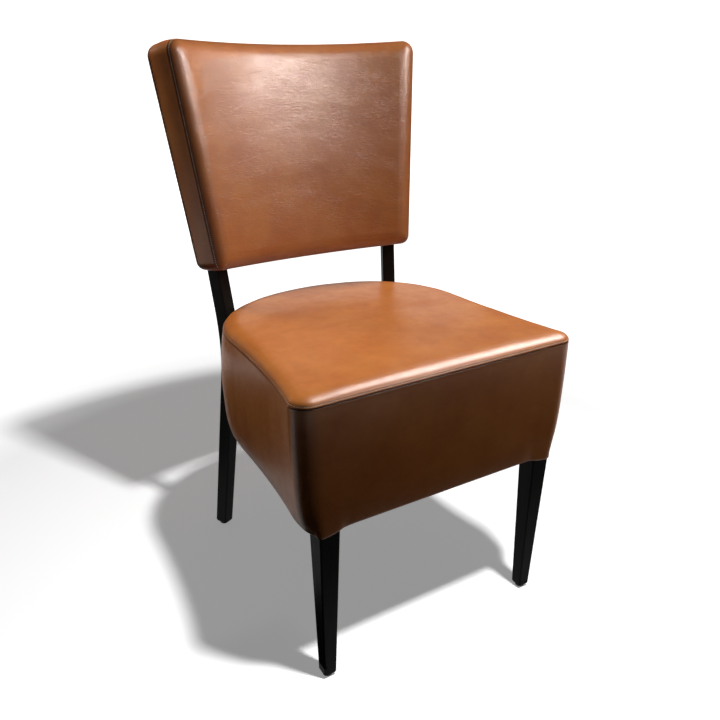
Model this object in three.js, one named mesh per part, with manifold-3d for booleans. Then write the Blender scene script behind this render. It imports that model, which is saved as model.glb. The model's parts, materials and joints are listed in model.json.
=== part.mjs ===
// An upholstered parsons chair: a deep D-shaped boxed seat and a curved back pad, both covered in
// leather, on four slim stained legs. The rear legs run on above the seat as posts that carry the back.
//
// Millimetres, +Z up. X runs to the right as seen from the front, and Y runs from the front to the
// back. The pieces are laid out from the front edge of the seat (y = 0) and the floor (z = 0), and the
// finished chair is then centred over its own footprint.

import * as THREE from 'three';
import { mergeVertices } from 'three/addons/utils/BufferGeometryUtils.js';
import Module from 'manifold-3d';

const wasm = await Module();
wasm.setup();

// Clearances
const fitGap = 0.3; // between two pieces that lie against each other
const holeGap = 0.2; // round a dowel, a screw or a bolt in its hole
const cutGap = 0.4; // round a leg where it passes through padding or leather
const overrun = 6; // how far a cutting tool runs past what it cuts
const leatherThickness = 1.5;

// Seat outline, seen from above
const seatFrontWidth = 466;
const seatWaistTaper = 34; // how much narrower than its front the seat is at its waist
const seatWaistSetback = 114;
const seatRearTaper = 40; // the same at the start of its rear arc
const seatDepth = 454;
const seatRearArcDepth = 190;
const seatCornerRadius = 26;
const seatInnerRadius = 12;

// Seat top
const seatSeamHeight = 463;
const seatFall = 6; // how much lower the seam runs at the back
const seatRollWidth = 26;
const seatRollHeight = 9;
const seatCrown = 11;

// Seat skirt
const skirtHeight = 192; // from the seam at the front to the lower edge
const skirtRoll = 6; // radius of the turned-under lower edge
const skirtHem = 10; // leather that lies flat under the frame
const skirtSideBulge = 11.5;
const skirtRearBulge = 2;
const skirtFrontBulge = 3;
const skirtDrawIn = 11; // how much the front sides draw in towards the bottom
const earDrop = 11; // how far the leather reaches down over a front leg
const earReach = 60; // over what distance it comes up again
const earGap = 2.5; // from the front leg's face to the outer skin of the ear
const earPower = 8; // how square the ear is round the leg
const skirtLevelShares = [0, 0.1, 0.27, 0.45, 0.63, 0.82, 0.94, 1];
const sideBulgeShares = [0.3, 0.6, 0.88, 1, 0.93, 0.72, 0.3, -0.2];
const frontBulgeShares = [0, 0.4, 0.8, 1, 1, 0.8, 0.4, 0];
const drawInShares = [0, 0.02, 0.1, 0.25, 0.42, 0.66, 0.88, 1];
const earShares = [0, 0, 0, 0, 0, 0.15, 0.5, 1];
const foamRimShare = 0.45; // level of the skirt at which the seat foam begins
const paddingFootShare = 0.98; // level of the skirt at which its padding ends

// Seat frame
const frameRise = 2; // from the lower edge of the skirt to the frame
const railHeight = 100;
const railThickness = 22;
const railFrontInset = 8;
const railFrontSideInset = 20;
const railRearInset = 7;
const railJointSetback = 20; // from the start of the rear arc to the joint of side and rear rail
const foamRimInset = 8;
const paddingGap = 0.7; // from the leather to the skirt padding, whose facets are larger
const paddingRise = 2.5; // of the skirt padding above the top of the rails

// Front legs
const frontLegInset = 38.3; // from the widest point of the seat to the middle of the leg
const frontLegSetback = 18.5;
const frontLegWidth = 32;
const frontLegDepth = 33;
const frontFootWidth = 20;
const frontTaperDrop = 6; // from the lower edge of the skirt to the start of the leg's taper
const legEdgeRadius = 2;
const footChamfer = 3;

// Rear legs
const rearLegTurn = THREE.MathUtils.degToRad(23.3);
const rearLegWidth = 23;
const rearLegDepth = 28;
const rearFootShare = 0.9; // section of the foot against the section at the knee
const postTopWidth = 22;
const postTopDepth = 24;
const kneeDrop = 72; // from the seam at the front of the seat to the height of the knee
const kneeReach = 60; // length of the bend above and below the knee
const kneeClearance = 1; // from the leather to the nearest edge of the leg
const rearFootSplay = 22.9; // how far the foot lies outside the knee
const rearFootRake = 55; // how far the foot lies behind the knee
const postLowInset = 21; // from the side of the pad to the middle of the post, at the pad's lower edge
const postHighInset = 36; // the same at the upper end of the post

// Floor glides
const glideRadius = 8;
const glideHeight = 4;
const glideEdge = 1;
const glidePinRadius = 1.25;
const glidePinLength = 14;

// Joints of the seat frame
const dowelRadius = 4;
const dowelLength = 36;
const dowelChamfer = 1;
const frontDowelShares = [0.17, 0.67]; // levels in the height of the rails
const sideDowelShares = [0.37, 0.87];
const rearDowelShares = [0.27, 0.73];
const cornerBlockReach = 55;
const cornerBlockShares = [0.27, 0.77]; // levels of its bottom and top
const cornerScrewInset = 38; // from the inner corner of the frame
const cornerScrewRadius = 2;
const cornerScrewHeadRadius = 4;
const cornerScrewHeadHeight = 3;
const cornerScrewBite = 15; // depth in the rail
const cornerScrewRecess = 6; // of the head below the slanted face
const legBlockWidth = 19;
const legBlockShares = [0.17, 0.95]; // levels of its bottom and top
const legBlockLength = 40; // of the block before it is fitted to the rail
const boltShares = [0.35, 0.77];
const boltRadius = 3;
const boltBite = 18; // depth in the leg
const boltHeadRadius = 6.5;
const boltHeadHeight = 5;
const boltRecess = 3.5; // of the flat seat in the rail's inner face
const boltSeatRadius = 9;

// Webbing and dust cover
const strapWidth = 50;
const strapThickness = 2;
const strapEase = 4; // flat length beyond a crossing strap
const strapPitch = 85; // from one lengthwise strap to the next
const crossStrapPitch = 95;
const crossStrapMiddle = 225;
const strapSetback = 5; // from the outer face of the rails
const dustCoverThickness = 0.8;
const dustCoverGap = 1.5;

// Back pad, measured along its curve
const backRadius = 578; // to the seam of its front face
const backLean = THREE.MathUtils.degToRad(10.4);
const backGap = 72.2; // from the front seam of the seat up to the lower front seam of the pad
const backHeight = 354.2;
const backTopHalf = 230.8;
const backBottomHalf = 194.1;
const backTopRadius = 20;
const backBottomRadius = 16;
const backInnerRadius = 8;
const postCover = 4; // foam and leather behind a post
const backFrontRollWidth = 22;
const backFrontRollHeight = 7;
const backFrontCrown = 4;
const backRearRollWidth = 20;
const backRearRollHeight = 14;
const boxingBulge = 1.5;

// Back frame
const panelFront = 20.7; // from the front seam
const panelThickness = 5;
const panelInset = 14;
const backRailThickness = 20;
const backRailSlack = 0.8; // what a faceted curve may lie off the panel
const lowerRailBottom = 18;
const backRailHeight = 40;
const postEndInset = 29.2; // from the upper edge of the pad to the end of the post and the upper rail
const tenonThickness = 10;
const tenonHeight = 28;
const tenonLength = 14;
const panelScrewGaps = [37, 50]; // from the lower and the upper rail to the nearest screw
const panelScrewRadius = 1.75;
const panelScrewHeadRadius = 3.5;
const panelScrewLength = 24;

// Numbers of facets
const frontSteps = 4;
const cornerSteps = 4;
const sideSteps = 6;
const arcSteps = 9;
const crowding = 1.7; // how much the points of the front and sides crowd towards the corner
const padEdgeSteps = 4;
const padCornerSteps = 3;
const padSideSteps = 4;
const kneeSteps = 6;
const boreSides = 8;
const glideSides = 12;
const hexSides = 6;
const backRailSteps = 10;
const rollAngles = [0, 30, 60, 90].map(THREE.MathUtils.degToRad);
const crownShares = [0.2, 0.5, 0.9];

const quarterTurn = Math.PI / 2;
const up = new THREE.Vector3(0, 0, 1);
const { lerp, smoothstep } = THREE.MathUtils;

// Heights above the floor
const skirtBottom = seatSeamHeight - skirtHeight;
const frameBottom = skirtBottom + frameRise;
const frameTop = frameBottom + railHeight;
const kneeHeight = seatSeamHeight - kneeDrop;
const backBottomHeight = seatSeamHeight + backGap;
const railLevel = (share) => lerp(frameBottom, frameTop, share);

// Heights and depths in the back pad
const postTop = backHeight - postEndInset;
const topRailBottom = postTop - backRailHeight;
const panelBack = panelFront + panelThickness;
const backThickness = panelBack + fitGap + rearLegDepth + postCover; // from the front seam to the rear face
const backRearSeam = backThickness - backRearRollHeight; // from the front seam to the rear seam
const backRailFront = panelBack + backRailSlack;
const padSideSlope = (backTopHalf - backBottomHalf) / backHeight;
const padHalfAt = (rise) => backBottomHalf + padSideSlope * rise;

// The posts spread with the sides of the pad.
const postLowX = padHalfAt(0) - postLowInset;
const postHighX = padHalfAt(postTop) - postHighInset;
const postSlope = (postHighX - postLowX) / (postTop * Math.cos(backLean));
const postSpread = (z) => postLowX + postSlope * (z - backBottomHeight);
const kneeHalfSpacing = postSpread(kneeHeight);

// Finishes
const finish = (color, roughness, metalness = 0) => new THREE.MeshStandardMaterial({
  color, roughness, metalness, flatShading: true,
});
const leather = finish('#96552b', 0.4);
const stainedWood = finish('#241d1a', 0.45);
const beech = finish('#c79a66', 0.6);
const plywood = finish('#c8a878', 0.65);
const seatFoamFinish = finish('#e3d7a8', 0.95);
const wadding = finish('#e6e4dd', 1);
const elasticWebbing = finish('#3c3a38', 0.9);
const dustCloth = finish('#1d1d1f', 1);
const zincSteel = finish('#b4b6b8', 0.35, 1);
const glidePlastic = finish('#6b6661', 0.5);

// Closed solids

function signedVolume(positions, indices) {
  const [a, b, c] = [0, 1, 2].map(() => new THREE.Vector3());
  let volume = 0;
  for (let i = 0; i < indices.length; i += 3) {
    a.fromArray(positions, indices[i] * 3);
    b.fromArray(positions, indices[i + 1] * 3);
    c.fromArray(positions, indices[i + 2] * 3);
    volume += a.dot(b.cross(c));
  }
  return volume;
}

// Faces that lost their area are left out, and faces that point inwards are turned.
function closedGeometry(positions, indices) {
  const kept = [];
  for (let i = 0; i < indices.length; i += 3) {
    const [a, b, c] = [indices[i], indices[i + 1], indices[i + 2]];
    if (a !== b && b !== c && c !== a) kept.push(a, b, c);
  }
  if (signedVolume(positions, kept) < 0) kept.reverse();
  const geometry = new THREE.BufferGeometry();
  geometry.setAttribute('position', new THREE.BufferAttribute(new Float32Array(positions), 3));
  geometry.setIndex(new THREE.BufferAttribute(new Uint32Array(kept), 1));
  return geometry;
}

// Joins the loose faces of one of the library's shapes into one closed surface.
function welded(shape) {
  const bare = shape.clone();
  bare.deleteAttribute('normal');
  bare.deleteAttribute('uv');
  const merged = mergeVertices(bare);
  return closedGeometry(merged.getAttribute('position').array, merged.index.array);
}

function toSolid(geometry) {
  return new wasm.Manifold(new wasm.Mesh({
    numProp: 3,
    vertProperties: geometry.getAttribute('position').array,
    triVerts: geometry.index.array,
  }));
}

function toGeometry(solid) {
  const { vertProperties, triVerts } = solid.getMesh();
  return closedGeometry(vertProperties, triVerts);
}

function cut(piece, ...tools) {
  return toGeometry(tools.reduce((left, tool) => left.subtract(toSolid(tool)), toSolid(piece)));
}

function join(piece, ...others) {
  return toGeometry(others.reduce((sum, other) => sum.add(toSolid(other)), toSolid(piece)));
}

function common(piece, limit) {
  return toGeometry(toSolid(piece).intersect(toSolid(limit)));
}

function mirrored(geometry) {
  const positions = geometry.getAttribute('position').array.map((value, i) => (i % 3 ? value : -value));
  return closedGeometry(positions, geometry.index.array);
}

function moved(geometry, matrix) {
  return geometry.clone().applyMatrix4(matrix);
}

function middleOf(ring) {
  return ring.reduce((sum, point) => sum.add(point), new THREE.Vector3()).divideScalar(ring.length);
}

// Two triangles that share the shorter diagonal, so that parallel skins are split alike.
function splitQuad([a, b, c, d], [pointA, pointB, pointC, pointD]) {
  const alongAC = pointA.distanceToSquared(pointC) <= pointB.distanceToSquared(pointD);
  return alongAC ? [a, b, c, a, c, d] : [a, b, d, b, c, d];
}

// Skins rings of points that all have the same number of points. A looped skin joins the last ring to
// the first, and any other skin is closed by a fan at each end, round a tip point.
function loft(rings, { looped = false, startTip, endTip } = {}) {
  const count = rings[0].length;
  const points = rings.flat();
  const indices = [];
  const bands = looped ? rings.length : rings.length - 1;
  for (let band = 0; band < bands; band += 1) {
    const near = band * count;
    const far = ((band + 1) % rings.length) * count;
    for (let i = 0; i < count; i += 1) {
      const next = (i + 1) % count;
      const corners = [near + i, near + next, far + next, far + i];
      indices.push(...splitQuad(corners, corners.map((index) => points[index])));
    }
  }
  if (!looped) {
    const start = points.push(startTip ?? middleOf(rings[0])) - 1;
    const end = points.push(endTip ?? middleOf(rings.at(-1))) - 1;
    const last = (rings.length - 1) * count;
    for (let i = 0; i < count; i += 1) {
      const next = (i + 1) % count;
      indices.push(start, next, i);
      indices.push(end, last + i, last + next);
    }
  }
  return closedGeometry(points.flatMap((point) => point.toArray()), indices);
}

const atHeight = (ring, z) => ring.map(({ x, y }) => new THREE.Vector3(x, y, z));

function prism(ring, bottom, top) {
  return loft([atHeight(ring, bottom), atHeight(ring, top)]);
}

function block(low, high) {
  const size = new THREE.Vector3().subVectors(high, low);
  const middle = new THREE.Vector3().addVectors(low, high).divideScalar(2);
  const shape = new THREE.BoxGeometry(size.x, size.y, size.z);
  return welded(shape.translate(middle.x, middle.y, middle.z));
}

// Turns a profile of [radius, distance along the axis] pairs about a line through start.
function turnedPiece(profile, sides, start, direction) {
  const shape = new THREE.LatheGeometry(profile.map((pair) => new THREE.Vector2(...pair)), sides);
  const tilt = new THREE.Quaternion().setFromUnitVectors(new THREE.Vector3(0, 1, 0), direction);
  return welded(shape.applyQuaternion(tilt).translate(start.x, start.y, start.z));
}

// A straight bore whose flats, not only its corners, clear what goes in it.
function bore(radius, from, to) {
  const axis = new THREE.Vector3().subVectors(to, from);
  const length = axis.length();
  const corner = (radius + holeGap) / Math.cos(Math.PI / boreSides);
  const profile = [[0, 0], [corner, 0], [corner, length], [0, length]];
  return turnedPiece(profile, boreSides, from, axis.normalize());
}

const along = (start, direction, distance) => start.clone().addScaledVector(direction, distance);

// Value of a table of shares at a level between its first and last level.
function shareAt(shares, level) {
  const next = Math.max(1, skirtLevelShares.findIndex((mark) => mark >= level));
  const [low, high] = [skirtLevelShares[next - 1], skirtLevelShares[next]];
  return lerp(shares[next - 1], shares[next], (level - low) / (high - low));
}

// Distance from a point to the nearest crossing of a ray with an outline.
function rayToOutline(outline, from, direction) {
  let nearest = Infinity;
  outline.forEach((start, i) => {
    const edge = outline[(i + 1) % outline.length].clone().sub(start);
    const offset = start.clone().sub(from);
    const across = direction.cross(edge);
    const distance = offset.cross(edge) / across;
    const share = offset.cross(direction) / across;
    if (share >= 0 && share <= 1 && distance > 0) nearest = Math.min(nearest, distance);
  });
  return nearest;
}

// Seat outline

const arcStart = seatDepth - seatRearArcDepth;
const seatWaistWidth = seatFrontWidth - seatWaistTaper;
const seatRearWidth = seatFrontWidth - seatRearTaper;

function bothHalves(rightHalf) {
  const left = rightHalf.slice(1, -1).reverse().map(({ x, y }) => new THREE.Vector2(-x, y));
  return [...rightHalf, ...left];
}

// The D shape of the seat, drawn in by an inset of its own at the front, the front of the sides, the
// back of the sides and the rear. It starts at the middle of the front and runs anticlockwise.
function seatOutline({ front, frontSide, rearSide, rear }) {
  const radius = Math.max(seatCornerRadius - front, seatInnerRadius);
  const corner = new THREE.Vector2(seatFrontWidth / 2 - frontSide - radius, front + radius);
  const sideStart = new THREE.Vector2(corner.x + radius, corner.y);
  const waist = new THREE.Vector2((seatWaistWidth - frontSide - rearSide) / 2,
    Math.max(seatWaistSetback, corner.y));
  const sideEnd = new THREE.Vector2(seatRearWidth / 2 - rearSide, arcStart);
  const side = new THREE.QuadraticBezierCurve(sideStart, waist, sideEnd);
  const half = [];
  for (let i = 0; i < frontSteps; i += 1) {
    const share = 1 - (1 - i / frontSteps) ** crowding;
    half.push(new THREE.Vector2(corner.x * share, front));
  }
  for (let i = 0; i < cornerSteps; i += 1) {
    const angle = (i / cornerSteps - 1) * quarterTurn;
    half.push(new THREE.Vector2(Math.cos(angle), Math.sin(angle)).multiplyScalar(radius).add(corner));
  }
  for (let i = 0; i < sideSteps; i += 1) {
    half.push(side.getPoint((i / sideSteps) ** crowding));
  }
  for (let i = 0; i <= arcSteps; i += 1) {
    const angle = (i / arcSteps) * quarterTurn;
    const x = i < arcSteps ? sideEnd.x * Math.cos(angle) : 0;
    half.push(new THREE.Vector2(x, arcStart + (seatRearArcDepth - rear) * Math.sin(angle)));
  }
  return bothHalves(half);
}

const seamHeight = (y) => seatSeamHeight - seatFall * (y / seatDepth);

// Insets of the skin at a level of the skirt, from 0 at the seam to 1 at the lower edge.
function skirtInsets(level, depth) {
  const sideBulge = shareAt(sideBulgeShares, level);
  return {
    front: depth - skirtFrontBulge * shareAt(frontBulgeShares, level),
    frontSide: depth + skirtDrawIn * shareAt(drawInShares, level),
    rearSide: depth - skirtSideBulge * sideBulge,
    rear: depth - skirtRearBulge * sideBulge,
  };
}

// Legs

function barSection(width, depth) {
  const corners = [[1, 1], [-1, 1], [-1, -1], [1, -1]];
  return corners.flatMap(([right, back], quarter) => [0, 1 / 2, 1].map((share) => {
    const angle = (quarter + share) * quarterTurn;
    return new THREE.Vector2(
      right * (width / 2 - legEdgeRadius) + legEdgeRadius * Math.cos(angle),
      back * (depth / 2 - legEdgeRadius) + legEdgeRadius * Math.sin(angle),
    );
  }));
}

// A leg is skinned over level sections. Grown, it is the tool that clears a way for itself.
function legBody(stations, turn, grow = 0, growFront = grow) {
  return loft(stations.map(({ middle, width, depth }) => {
    const section = barSection(width + 2 * grow, depth + grow + growFront);
    return section.map(({ x, y }) => {
      const point = new THREE.Vector3(x, y - (growFront - grow) / 2, 0);
      return point.applyAxisAngle(up, turn).add(middle);
    });
  }));
}

const frontLegMiddle = new THREE.Vector2(seatFrontWidth / 2 - frontLegInset, frontLegSetback);
const frontLegFace = frontLegMiddle.y - frontLegDepth / 2;
const frontLegBack = frontLegMiddle.y + frontLegDepth / 2;
const frontLegInside = frontLegMiddle.x - frontLegWidth / 2;
const frontLegOutside = frontLegMiddle.x + frontLegWidth / 2;
const footBottom = glideHeight + fitGap;
const chamferTop = footBottom + footChamfer;

function frontLegStations() {
  const { x, y } = frontLegMiddle;
  const at = (z, width, depth) => ({ middle: new THREE.Vector3(x, y, z), width, depth });
  const taperTop = skirtBottom - frontTaperDrop;
  const taper = chamferTop / taperTop;
  const width = lerp(frontFootWidth, frontLegWidth, taper);
  const depth = lerp(frontFootWidth, frontLegDepth, taper);
  return [
    at(footBottom, frontFootWidth - footChamfer, frontFootWidth - footChamfer),
    at(chamferTop, width, depth),
    at(taperTop, frontLegWidth, frontLegDepth),
    at(frameTop, frontLegWidth, frontLegDepth),
  ];
}

const frontLegBody = (grow = 0) => legBody(frontLegStations(), 0, grow);

// The back pad is a patch of a leaning cylinder. Its own frame has its origin at the middle of the
// lower front seam, with Y towards the back and Z up the pad.
const padRadiusAt = (x, radial) => Math.sqrt((backRadius + radial) ** 2 - x ** 2) - backRadius;

const postWidthAt = (share) => lerp(rearLegWidth, postTopWidth, share);
const postDepthAt = (share) => lerp(rearLegDepth, postTopDepth, share);

// The posts lean so that their front faces lie against the back panel at both its ends.
function postGeometry() {
  const topZ = backBottomHeight + postTop * Math.cos(backLean);
  const shareOf = (z) => (z - kneeHeight) / (topZ - kneeHeight);
  const radialAt = (z) => panelBack + fitGap + postDepthAt(shareOf(z)) / 2;
  const low = padRadiusAt(postSpread(backBottomHeight), radialAt(backBottomHeight));
  const high = padRadiusAt(postSpread(topZ), radialAt(topZ));
  const rise = postTop * Math.cos(backLean) + (low - high) * Math.sin(backLean);
  const run = postTop * Math.sin(backLean) + (high - low) * Math.cos(backLean);
  return { topZ: topZ - high * Math.sin(backLean), slope: run / rise, low };
}

const post = postGeometry();

function kneeCurve(kneeY) {
  const end = (rise) => {
    const share = rise / kneeHeight;
    const below = rise < 0;
    const x = kneeHalfSpacing + (below ? -share * rearFootSplay : rise * postSlope);
    const y = kneeY + (below ? -share * rearFootRake : rise * post.slope);
    return new THREE.Vector3(x, y, kneeHeight + rise);
  };
  const knee = new THREE.Vector3(kneeHalfSpacing, kneeY, kneeHeight);
  return new THREE.QuadraticBezierCurve3(end(-kneeReach), knee, end(kneeReach));
}

// The knee stands as far back as it takes for the leg's nearest edge to clear the bulging leather.
function kneeSetback() {
  const toEdge = new THREE.Vector3(-rearLegWidth / 2, -rearLegDepth / 2, 0).applyAxisAngle(up, -rearLegTurn);
  const trial = kneeCurve(0);
  let setback = 0;
  for (let i = 0; i <= kneeSteps; i += 1) {
    const edge = trial.getPoint(i / kneeSteps).add(toEdge);
    const drop = seamHeight(seatDepth) - edge.z;
    const level = THREE.MathUtils.clamp(drop / (seatSeamHeight - skirtBottom), 0, 1);
    const skin = seatOutline(skirtInsets(level, 0));
    const from = new THREE.Vector2(edge.x, arcStart);
    const clear = arcStart + rayToOutline(skin, from, new THREE.Vector2(0, 1)) + kneeClearance;
    setback = Math.max(setback, clear - edge.y);
  }
  return setback;
}

const kneeY = kneeSetback();
const knee = kneeCurve(kneeY);
const postMiddle = (z) => new THREE.Vector3(postSpread(z), kneeY + post.slope * (z - kneeHeight), z);

function rearLegStations() {
  const foot = new THREE.Vector3(kneeHalfSpacing + rearFootSplay, kneeY + rearFootRake, 0);
  const bendStart = knee.getPoint(0);
  const footWidth = rearLegWidth * rearFootShare;
  const footDepth = rearLegDepth * rearFootShare;
  const below = (z, trim = 0) => {
    const share = z / bendStart.z;
    return {
      middle: foot.clone().lerp(bendStart, share),
      width: lerp(footWidth, rearLegWidth, share) - trim,
      depth: lerp(footDepth, rearLegDepth, share) - trim,
    };
  };
  const bend = Array.from({ length: kneeSteps }, (_, i) => {
    const middle = knee.getPoint(i / kneeSteps);
    return { middle, width: rearLegWidth, depth: rearLegDepth };
  });
  const bendTop = knee.getPoint(1);
  const bendShare = (bendTop.z - kneeHeight) / (post.topZ - kneeHeight);
  const bendEnd = { middle: bendTop, width: postWidthAt(bendShare), depth: postDepthAt(bendShare) };
  const top = { middle: postMiddle(post.topZ), width: postTopWidth, depth: postTopDepth };
  return [below(footBottom, footChamfer), below(chamferTop), ...bend, bendEnd, top];
}

const rearLegBody = (grow = 0, growFront = grow) => (
  legBody(rearLegStations(), -rearLegTurn, grow, growFront));

// Unit vector from the right rear leg towards the seat, square to the leg's front face.
const legForward = new THREE.Vector3(0, -1, 0).applyAxisAngle(up, -rearLegTurn);
const legSideways = new THREE.Vector3(1, 0, 0).applyAxisAngle(up, -rearLegTurn);

// Middle of the rear leg at any height below the top of the bend.
function legMiddle(z) {
  const bendBottom = knee.getPoint(0);
  if (z > bendBottom.z) return knee.getPoint((z - bendBottom.z) / (2 * kneeReach));
  const foot = new THREE.Vector3(kneeHalfSpacing + rearFootSplay, kneeY + rearFootRake, 0);
  return foot.lerp(bendBottom, z / bendBottom.z);
}

const legFront = (z) => along(legMiddle(z), legForward, rearLegDepth / 2);

// Seat frame

const frameInsets = (depth) => ({
  front: railFrontInset + depth,
  frontSide: railFrontSideInset + depth,
  rearSide: railRearInset + depth,
  rear: railRearInset + depth,
});
const frameOutside = seatOutline(frameInsets(0));
const frameInside = seatOutline(frameInsets(railThickness));
const railJoint = arcStart + railJointSetback;

// A piece of the closed band of rails, between two corners of a box.
function railBetween(left, front, right, back) {
  const outside = prism(frameOutside, frameBottom, frameTop);
  const inside = prism(frameInside, frameBottom - overrun, frameTop + overrun);
  const low = new THREE.Vector3(left, front, frameBottom - overrun);
  const high = new THREE.Vector3(right, back, frameTop + overrun);
  return common(cut(outside, inside), block(low, high));
}

// Middle of the right-hand rail at a distance from the front.
function railMiddleAt(y) {
  const from = new THREE.Vector2(0, y);
  return rayToOutline(frameOutside, from, new THREE.Vector2(1, 0)) - railThickness / 2;
}

// Dowels, each given by the middle of its length, for the right-hand side of the chair.
function dowelPlaces() {
  const toSide = new THREE.Vector3(1, 0, 0);
  const toBack = new THREE.Vector3(0, 1, 0);
  const front = frontDowelShares.map(railLevel).map((z) => ({
    middle: new THREE.Vector3(frontLegInside, railFrontInset + railThickness / 2, z), axis: toSide,
  }));
  const side = sideDowelShares.map(railLevel).map((z) => ({
    middle: new THREE.Vector3(railMiddleAt(frontLegBack + fitGap), frontLegBack, z), axis: toBack,
  }));
  const rear = rearDowelShares.map(railLevel).map((z) => ({
    middle: new THREE.Vector3(railMiddleAt(railJoint), railJoint, z), axis: toBack,
  }));
  return { front, side, rear };
}

const dowels = dowelPlaces();

function dowelBody({ middle, axis }) {
  const neck = dowelRadius - dowelChamfer;
  const profile = [[0, 0], [neck, 0], [dowelRadius, dowelChamfer],
    [dowelRadius, dowelLength - dowelChamfer], [neck, dowelLength], [0, dowelLength]];
  return turnedPiece(profile, boreSides, along(middle, axis, -dowelLength / 2), axis);
}

function dowelBore({ middle, axis }) {
  const reach = dowelLength / 2 + holeGap;
  return bore(dowelRadius, along(middle, axis, -reach), along(middle, axis, reach));
}

// Stock of the right-hand rear leg block, a bar that runs from the middle of the leg towards the seat.
function legBlockStock(grow = 0) {
  const width = legBlockWidth / 2 + grow;
  const [bottom, top] = legBlockShares.map(railLevel);
  const start = legMiddle((bottom + top) / 2);
  const end = along(start, legForward, rearLegDepth / 2 + legBlockLength);
  const ring = [[start, -width], [end, -width], [end, width], [start, width]];
  const corners = ring.map(([point, sideways]) => along(point, legSideways, sideways));
  return prism(corners, bottom - grow, top + grow);
}

function legBolts() {
  const forward = new THREE.Vector2(legForward.x, legForward.y);
  return boltShares.map(railLevel).map((z) => {
    const face = legFront(z);
    const reach = rayToOutline(frameInside, new THREE.Vector2(face.x, face.y), forward) - boltRecess;
    return { seat: along(face, legForward, reach), tip: along(face, legForward, -boltBite), reach };
  });
}

const bolts = legBolts();

function boltBody({ seat, reach }) {
  const backward = legForward.clone().negate();
  const length = reach + boltBite;
  const head = [[0, -boltHeadHeight], [boltHeadRadius, -boltHeadHeight], [boltHeadRadius, 0], [0, 0]];
  const shank = [[0, -boltHeadHeight / 2], [boltRadius, -boltHeadHeight / 2],
    [boltRadius, length - boltRadius], [boltRadius / 2, length], [0, length]];
  return join(turnedPiece(head, hexSides, seat, backward), turnedPiece(shank, boreSides, seat, backward));
}

// The bore of a bolt, with the flat seat of its head in the rail.
function boltBore({ seat, tip }) {
  const through = bore(boltRadius, seat, along(tip, legForward, -holeGap));
  const mouthStart = along(seat, legForward, -fitGap);
  return join(through, bore(boltSeatRadius, mouthStart, along(seat, legForward, 2 * boltSeatRadius)));
}

// Right-hand front corner block: a triangle in the frame's corner, notched round the leg.
const railInsideAt = (y) => railMiddleAt(y) - railThickness / 2;
const innerCorner = new THREE.Vector2(railInsideAt(frontLegBack + fitGap), railFrontInset + railThickness);

function cornerBlockStock() {
  const { x, y } = innerCorner;
  const backEnd = y + cornerBlockReach;
  const outside = Math.max(x, railInsideAt(backEnd)) + overrun;
  const ring = [
    new THREE.Vector2(x - cornerBlockReach, y),
    new THREE.Vector2(outside, y),
    new THREE.Vector2(outside, backEnd + overrun),
    new THREE.Vector2(railInsideAt(backEnd), backEnd),
  ];
  const triangle = prism(ring, ...cornerBlockShares.map(railLevel));
  const inside = prism(seatOutline(frameInsets(railThickness + fitGap)), frameBottom, frameTop);
  return cut(common(triangle, inside), frontLegBody(fitGap));
}

// The two screws of the right-hand corner block: one into the front rail, one into the side rail.
function cornerScrews() {
  const [bottom, top] = cornerBlockShares.map(railLevel);
  const z = (bottom + top) / 2;
  const depth = cornerBlockReach - cornerScrewInset - cornerScrewRecess;
  const { x, y } = innerCorner;
  const alongSide = y + cornerScrewInset;
  const frontSeat = new THREE.Vector3(x - cornerScrewInset, y + depth, z);
  const sideSeat = new THREE.Vector3(railInsideAt(alongSide) - depth, alongSide, z);
  return [
    { seat: frontSeat, axis: new THREE.Vector3(0, -1, 0), depth },
    { seat: sideSeat, axis: new THREE.Vector3(1, 0, 0), depth },
  ];
}

// A screw with a flat-bottomed head, its point at the far end.
function cornerScrewBody({ seat, axis, depth }) {
  const length = depth + cornerScrewBite;
  const profile = [[0, -cornerScrewHeadHeight], [cornerScrewHeadRadius, -cornerScrewHeadHeight],
    [cornerScrewHeadRadius, 0], [cornerScrewRadius, 0],
    [cornerScrewRadius, length - cornerScrewRadius], [0, length]];
  return turnedPiece(profile, boreSides, seat, axis);
}

function cornerScrewBore({ seat, axis, depth }) {
  const through = bore(cornerScrewRadius, seat, along(seat, axis, depth + cornerScrewBite + holeGap));
  const mouthEnd = along(seat, axis, -cornerBlockReach);
  return join(through, bore(cornerScrewHeadRadius, along(seat, axis, fitGap), mouthEnd));
}

// Floor glides

function glideBody(foot) {
  const rim = glideRadius - glideEdge;
  const profile = [[0, 0], [rim, 0], [glideRadius, glideEdge], [glideRadius, glideHeight - glideEdge],
    [rim, glideHeight], [glidePinRadius, glideHeight],
    [glidePinRadius, glideHeight + glidePinLength - glidePinRadius], [0, glideHeight + glidePinLength]];
  return turnedPiece(profile, glideSides, foot, up);
}

function glideBore(foot) {
  return bore(glidePinRadius, foot, along(foot, up, glideHeight + glidePinLength + holeGap));
}

// Feet of the right-hand legs, on the floor.
const frontFoot = new THREE.Vector3(frontLegMiddle.x, frontLegMiddle.y, 0);
const rearFoot = legMiddle(footBottom).setZ(0);

// Webbing

const strapLow = frameTop + fitGap;
const strapHigh = strapLow + strapThickness + fitGap;
const foamBase = strapHigh + strapThickness + fitGap;

// Side view of a strap that passes over some of the straps that it crosses.
function strapProfile(start, crossings, end) {
  const half = strapWidth / 2 + strapEase;
  const line = [[start, strapLow]];
  crossings.forEach(({ at, over }) => {
    const height = over ? strapHigh : strapLow;
    line.push([at - half, height], [at + half, height]);
  });
  line.push([end, strapLow]);
  const back = line.map(([s, z]) => [s, z + strapThickness]).reverse();
  return [...line, ...back];
}

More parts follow.
